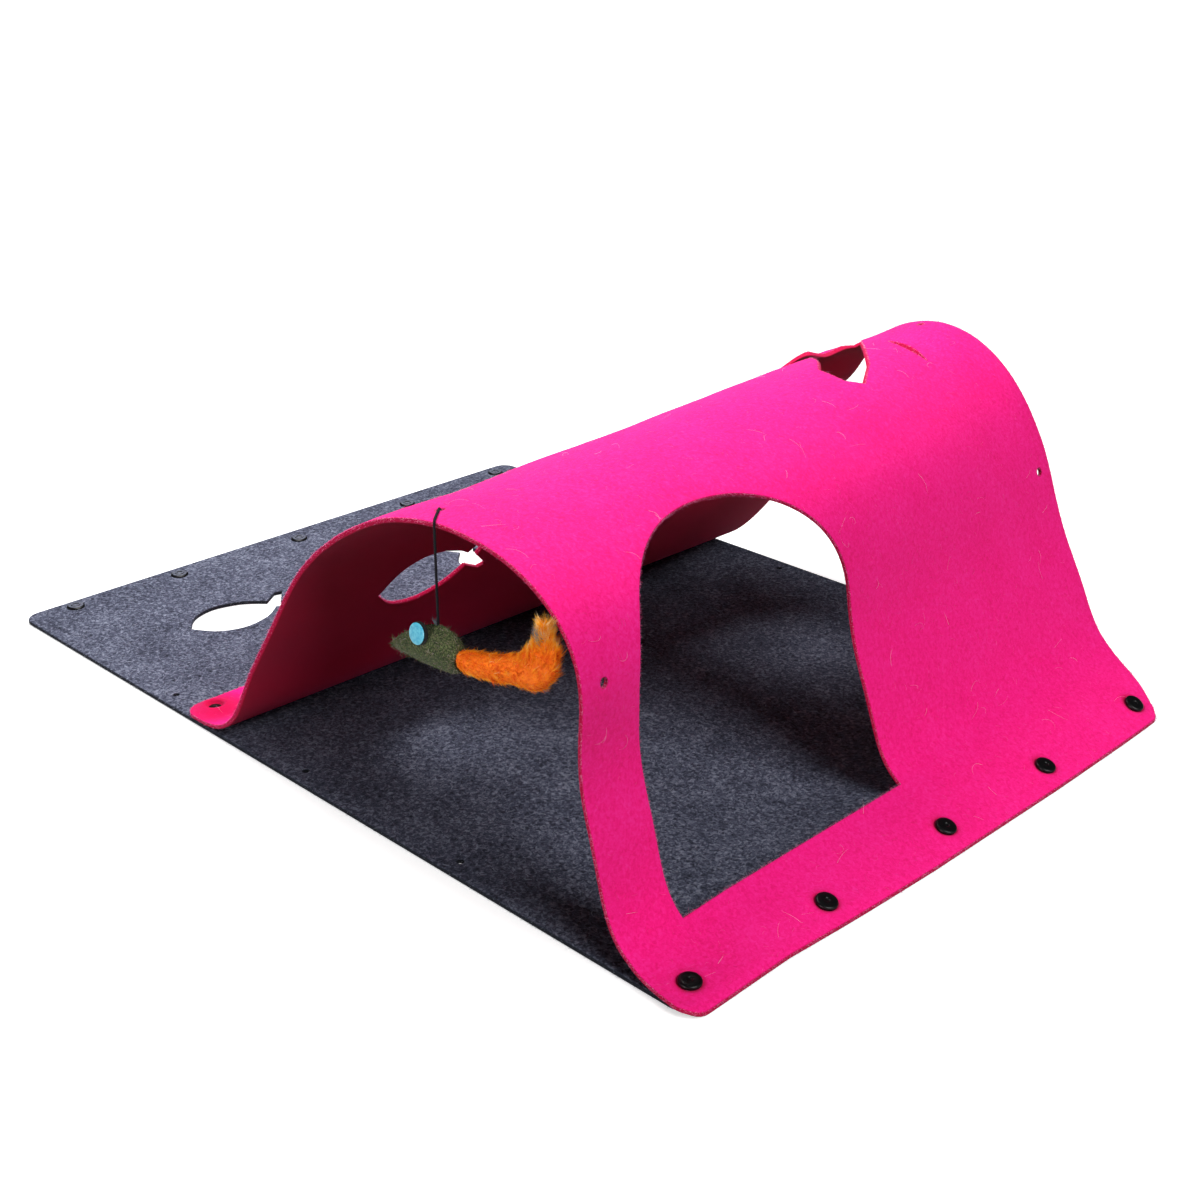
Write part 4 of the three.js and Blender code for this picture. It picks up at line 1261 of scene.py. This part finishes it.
def body_fuzz(seed, count):
    """Short wool that stands out of the toy's cloth and droops a little at its tips."""
    dice = np.random.default_rng(seed)
    t = dice.random(count)
    turn = dice.random(count) * 2 * math.pi
    half = at_share(t, body_halves)
    wide = at_share(t, body_rows[:, 3]) * np.sin(turn) * np.abs(np.sin(turn)) ** BODY_PINCH
    root = at_share(t, body_centres) + np.column_stack([np.zeros(count), wide, half * np.cos(turn)])
    outward = np.column_stack([np.zeros(count), np.sin(turn), np.cos(turn)])
    stray = dice.normal(0, 0.8, (count, 3))
    length = dice.uniform(0.8, 2.4, count)[:, None]
    steps = np.linspace(0, 1, 4)
    lines = [root + length * (outward * (0.75 * s - 0.35 * s * s) + stray * s) for s in steps]
    hair_piece(
        "toy_body_fuzz", place_all(np.stack(lines, axis=1)), dice.uniform(0.22, 0.4, count) * MM,
        dice.random(count), every_station(outward, len(steps)), TWEED_FIBRE, "toy_felt",
    )


CLUMP_SIZE = 5.5
CLUMP_SEED = 51  # without it the direction noise differs from run to run
SPOT_SPREAD = (0.018, 0.45)  # along the tail and round it


def fur(name, seed, count, reach, material, spot=None):
    """Hairs in clumps that sweep back along the tail and fork at its end, or a patch at one spot."""
    dice = np.random.default_rng(seed)
    t = dice.random(count) ** 0.85
    turn = dice.random(count) * 2 * math.pi
    if spot:
        t = np.clip(dice.normal(spot[0], SPOT_SPREAD[0], count), 0, 1)
        turn = dice.normal(spot[1], SPOT_SPREAD[1], count)
    along, ups = at_share(t, tail_along), at_share(t, tail_ups)
    tall = at_share(t, tail_rows[:, 2]) * CORE_SHARE * np.cos(turn)
    wide = at_share(t, tail_rows[:, 3]) * CORE_SHARE * np.sin(turn)
    outward = ups * np.cos(turn)[:, None] + SIDEWAYS * np.sin(turn)[:, None]
    root = at_share(t, tail_centres) + ups * tall[:, None] + SIDEWAYS * wide[:, None]
    clump = np.array([noise.noise_vector(Vector(p) / CLUMP_SIZE) for p in root])
    length = dice.uniform(*reach, count) * np.interp(t, [0, 0.08, 0.7, 0.9, 1], [0.9, 1, 1.1, 1.2, 1])
    length *= 1 + 0.5 * clump[:, 0]
    lean = dice.uniform(0.5, 1.4, count) + 0.5 * clump[:, 1]
    fork = np.interp(t, [0.88, 1], [0, 0.75])[:, None] * np.sign(np.cos(turn))[:, None] * ups
    stray = dice.normal(0, 0.22, (count, 3)) + 0.55 * clump + fork
    steps = np.linspace(0, 1, 5)
    lines = []
    for s in steps:
        swept = along * (lean * s * s * 0.8)[:, None] + stray * s * s * 0.7
        lines.append(root + length[:, None] * (outward * (0.52 * s - 0.14 * s * s) + swept))
    shade = 0.3 + 0.42 * clump[:, 2] + dice.normal(0, 0.12, count) + 0.35 * np.clip((t - 0.8) / 0.2, 0, 1)
    shades = np.clip(shade[:, None] + 0.34 * steps[None, :] ** 2 - 0.1, 0, 1)
    hair_piece(
        name, place_all(np.stack(lines, axis=1)), dice.uniform(0.2, 0.42, count) * MM, shades,
        every_station(outward, len(steps)), material, "toy_fur",
    )


def tuft(seed, count):
    """The thread's cut ends where it is sewn to the toy's back."""
    dice = np.random.default_rng(seed)
    foot = np.array(STRING_ROUTE[-1]) + np.column_stack([
        dice.normal(-1.5, 1.2, count), dice.normal(0, 0.8, count), dice.uniform(-0.8, 0, count),
    ])
    lean = np.column_stack([
        dice.normal(-0.25, 0.35, count), dice.normal(-0.1, 0.35, count), dice.uniform(0.8, 1.1, count),
    ])
    length = dice.uniform(2.5, 6, count)[:, None]
    lines = np.stack([foot + lean * length * s for s in np.linspace(0, 1, 4)], axis=1)
    hair_piece(
        "toy_thread_tuft", place_all(lines), dice.uniform(0.25, 0.4, count) * MM, dice.random(count),
        np.broadcast_to(np.array([0.0, 1.0, 0.1]), lines.shape), GREY_FIBRE, "toy_felt",
    )


body_fuzz(33, 1500)
noise.seed_set(CLUMP_SEED)
fur("toy_tail_fur", 31, 7600, (3.2, 6.4), ORANGE_FUR)
fur("toy_tail_grey_patch", 32, 320, (4, 7), GREY_FIBRE, spot=(0.87, -0.9))
tuft(41, 26)

# Studio: a wide pale floor that sends no light back up, a low key, a front light and a near softbox
FLOOR_SIZE = 40
FLOOR_DROP = 0.0006
bpy.ops.object.select_all(action="DESELECT")
bpy.ops.mesh.primitive_plane_add(size=FLOOR_SIZE, location=(0, 0, -FLOOR_DROP))
floor = bpy.context.object
floor.name = "studio_floor"
bpy.ops.object.transform_apply(location=True, rotation=True, scale=True)
floor.data.materials.append(FLOOR_PAINT)
floor.visible_diffuse = False


def light(name, kind, place, aim, power):
    bpy.ops.object.select_all(action="DESELECT")
    bpy.ops.object.light_add(type=kind, location=place)
    made = bpy.context.object
    made.name = name
    made.rotation_euler = (Vector(place) - Vector(aim)).to_track_quat("Z", "Y").to_euler()
    made.data.energy = power
    return made


def far_light(name, source, power, degrees):
    """A large light far away, given by the direction that it comes from."""
    light(name, "SUN", Vector(source) * 3, (0, 0, 0), power).data.angle = math.radians(degrees)


def near_light(name, place, aim, power, size):
    made = light(name, "AREA", place, aim, power)
    made.data.size = size
    return made


far_light("key_light", (0.694, 0, 0.72), 2.55, 34)
far_light("front_light", (-0.05, -1, 0.01), 2.75, 20)
near_light("softbox_over_the_foot_side", (-0.4, 0, 1.1), (0, 0, 0), 15.8, 0.6)
tail_light = near_light(
    "small_light_on_the_toy", (0.35, -1.1, 0.45), metres((240, TOY_Y, 200)), 2.8, 0.15,
)

# The small light falls on the toy's tail alone
lit_pieces = bpy.data.collections.new("lit_toy")
for piece in bpy.context.scene.collection.all_objects:
    if piece.name.startswith("toy_tail"):
        lit_pieces.objects.link(piece)
tail_light.light_linking.receiver_collection = lit_pieces

world = bpy.data.worlds.new("studio_sky")
bpy.context.scene.world = world
world.use_nodes = True
fill(world.node_tree.nodes["Background"], Color=(1, 1, 1, 1), Strength=0.045)
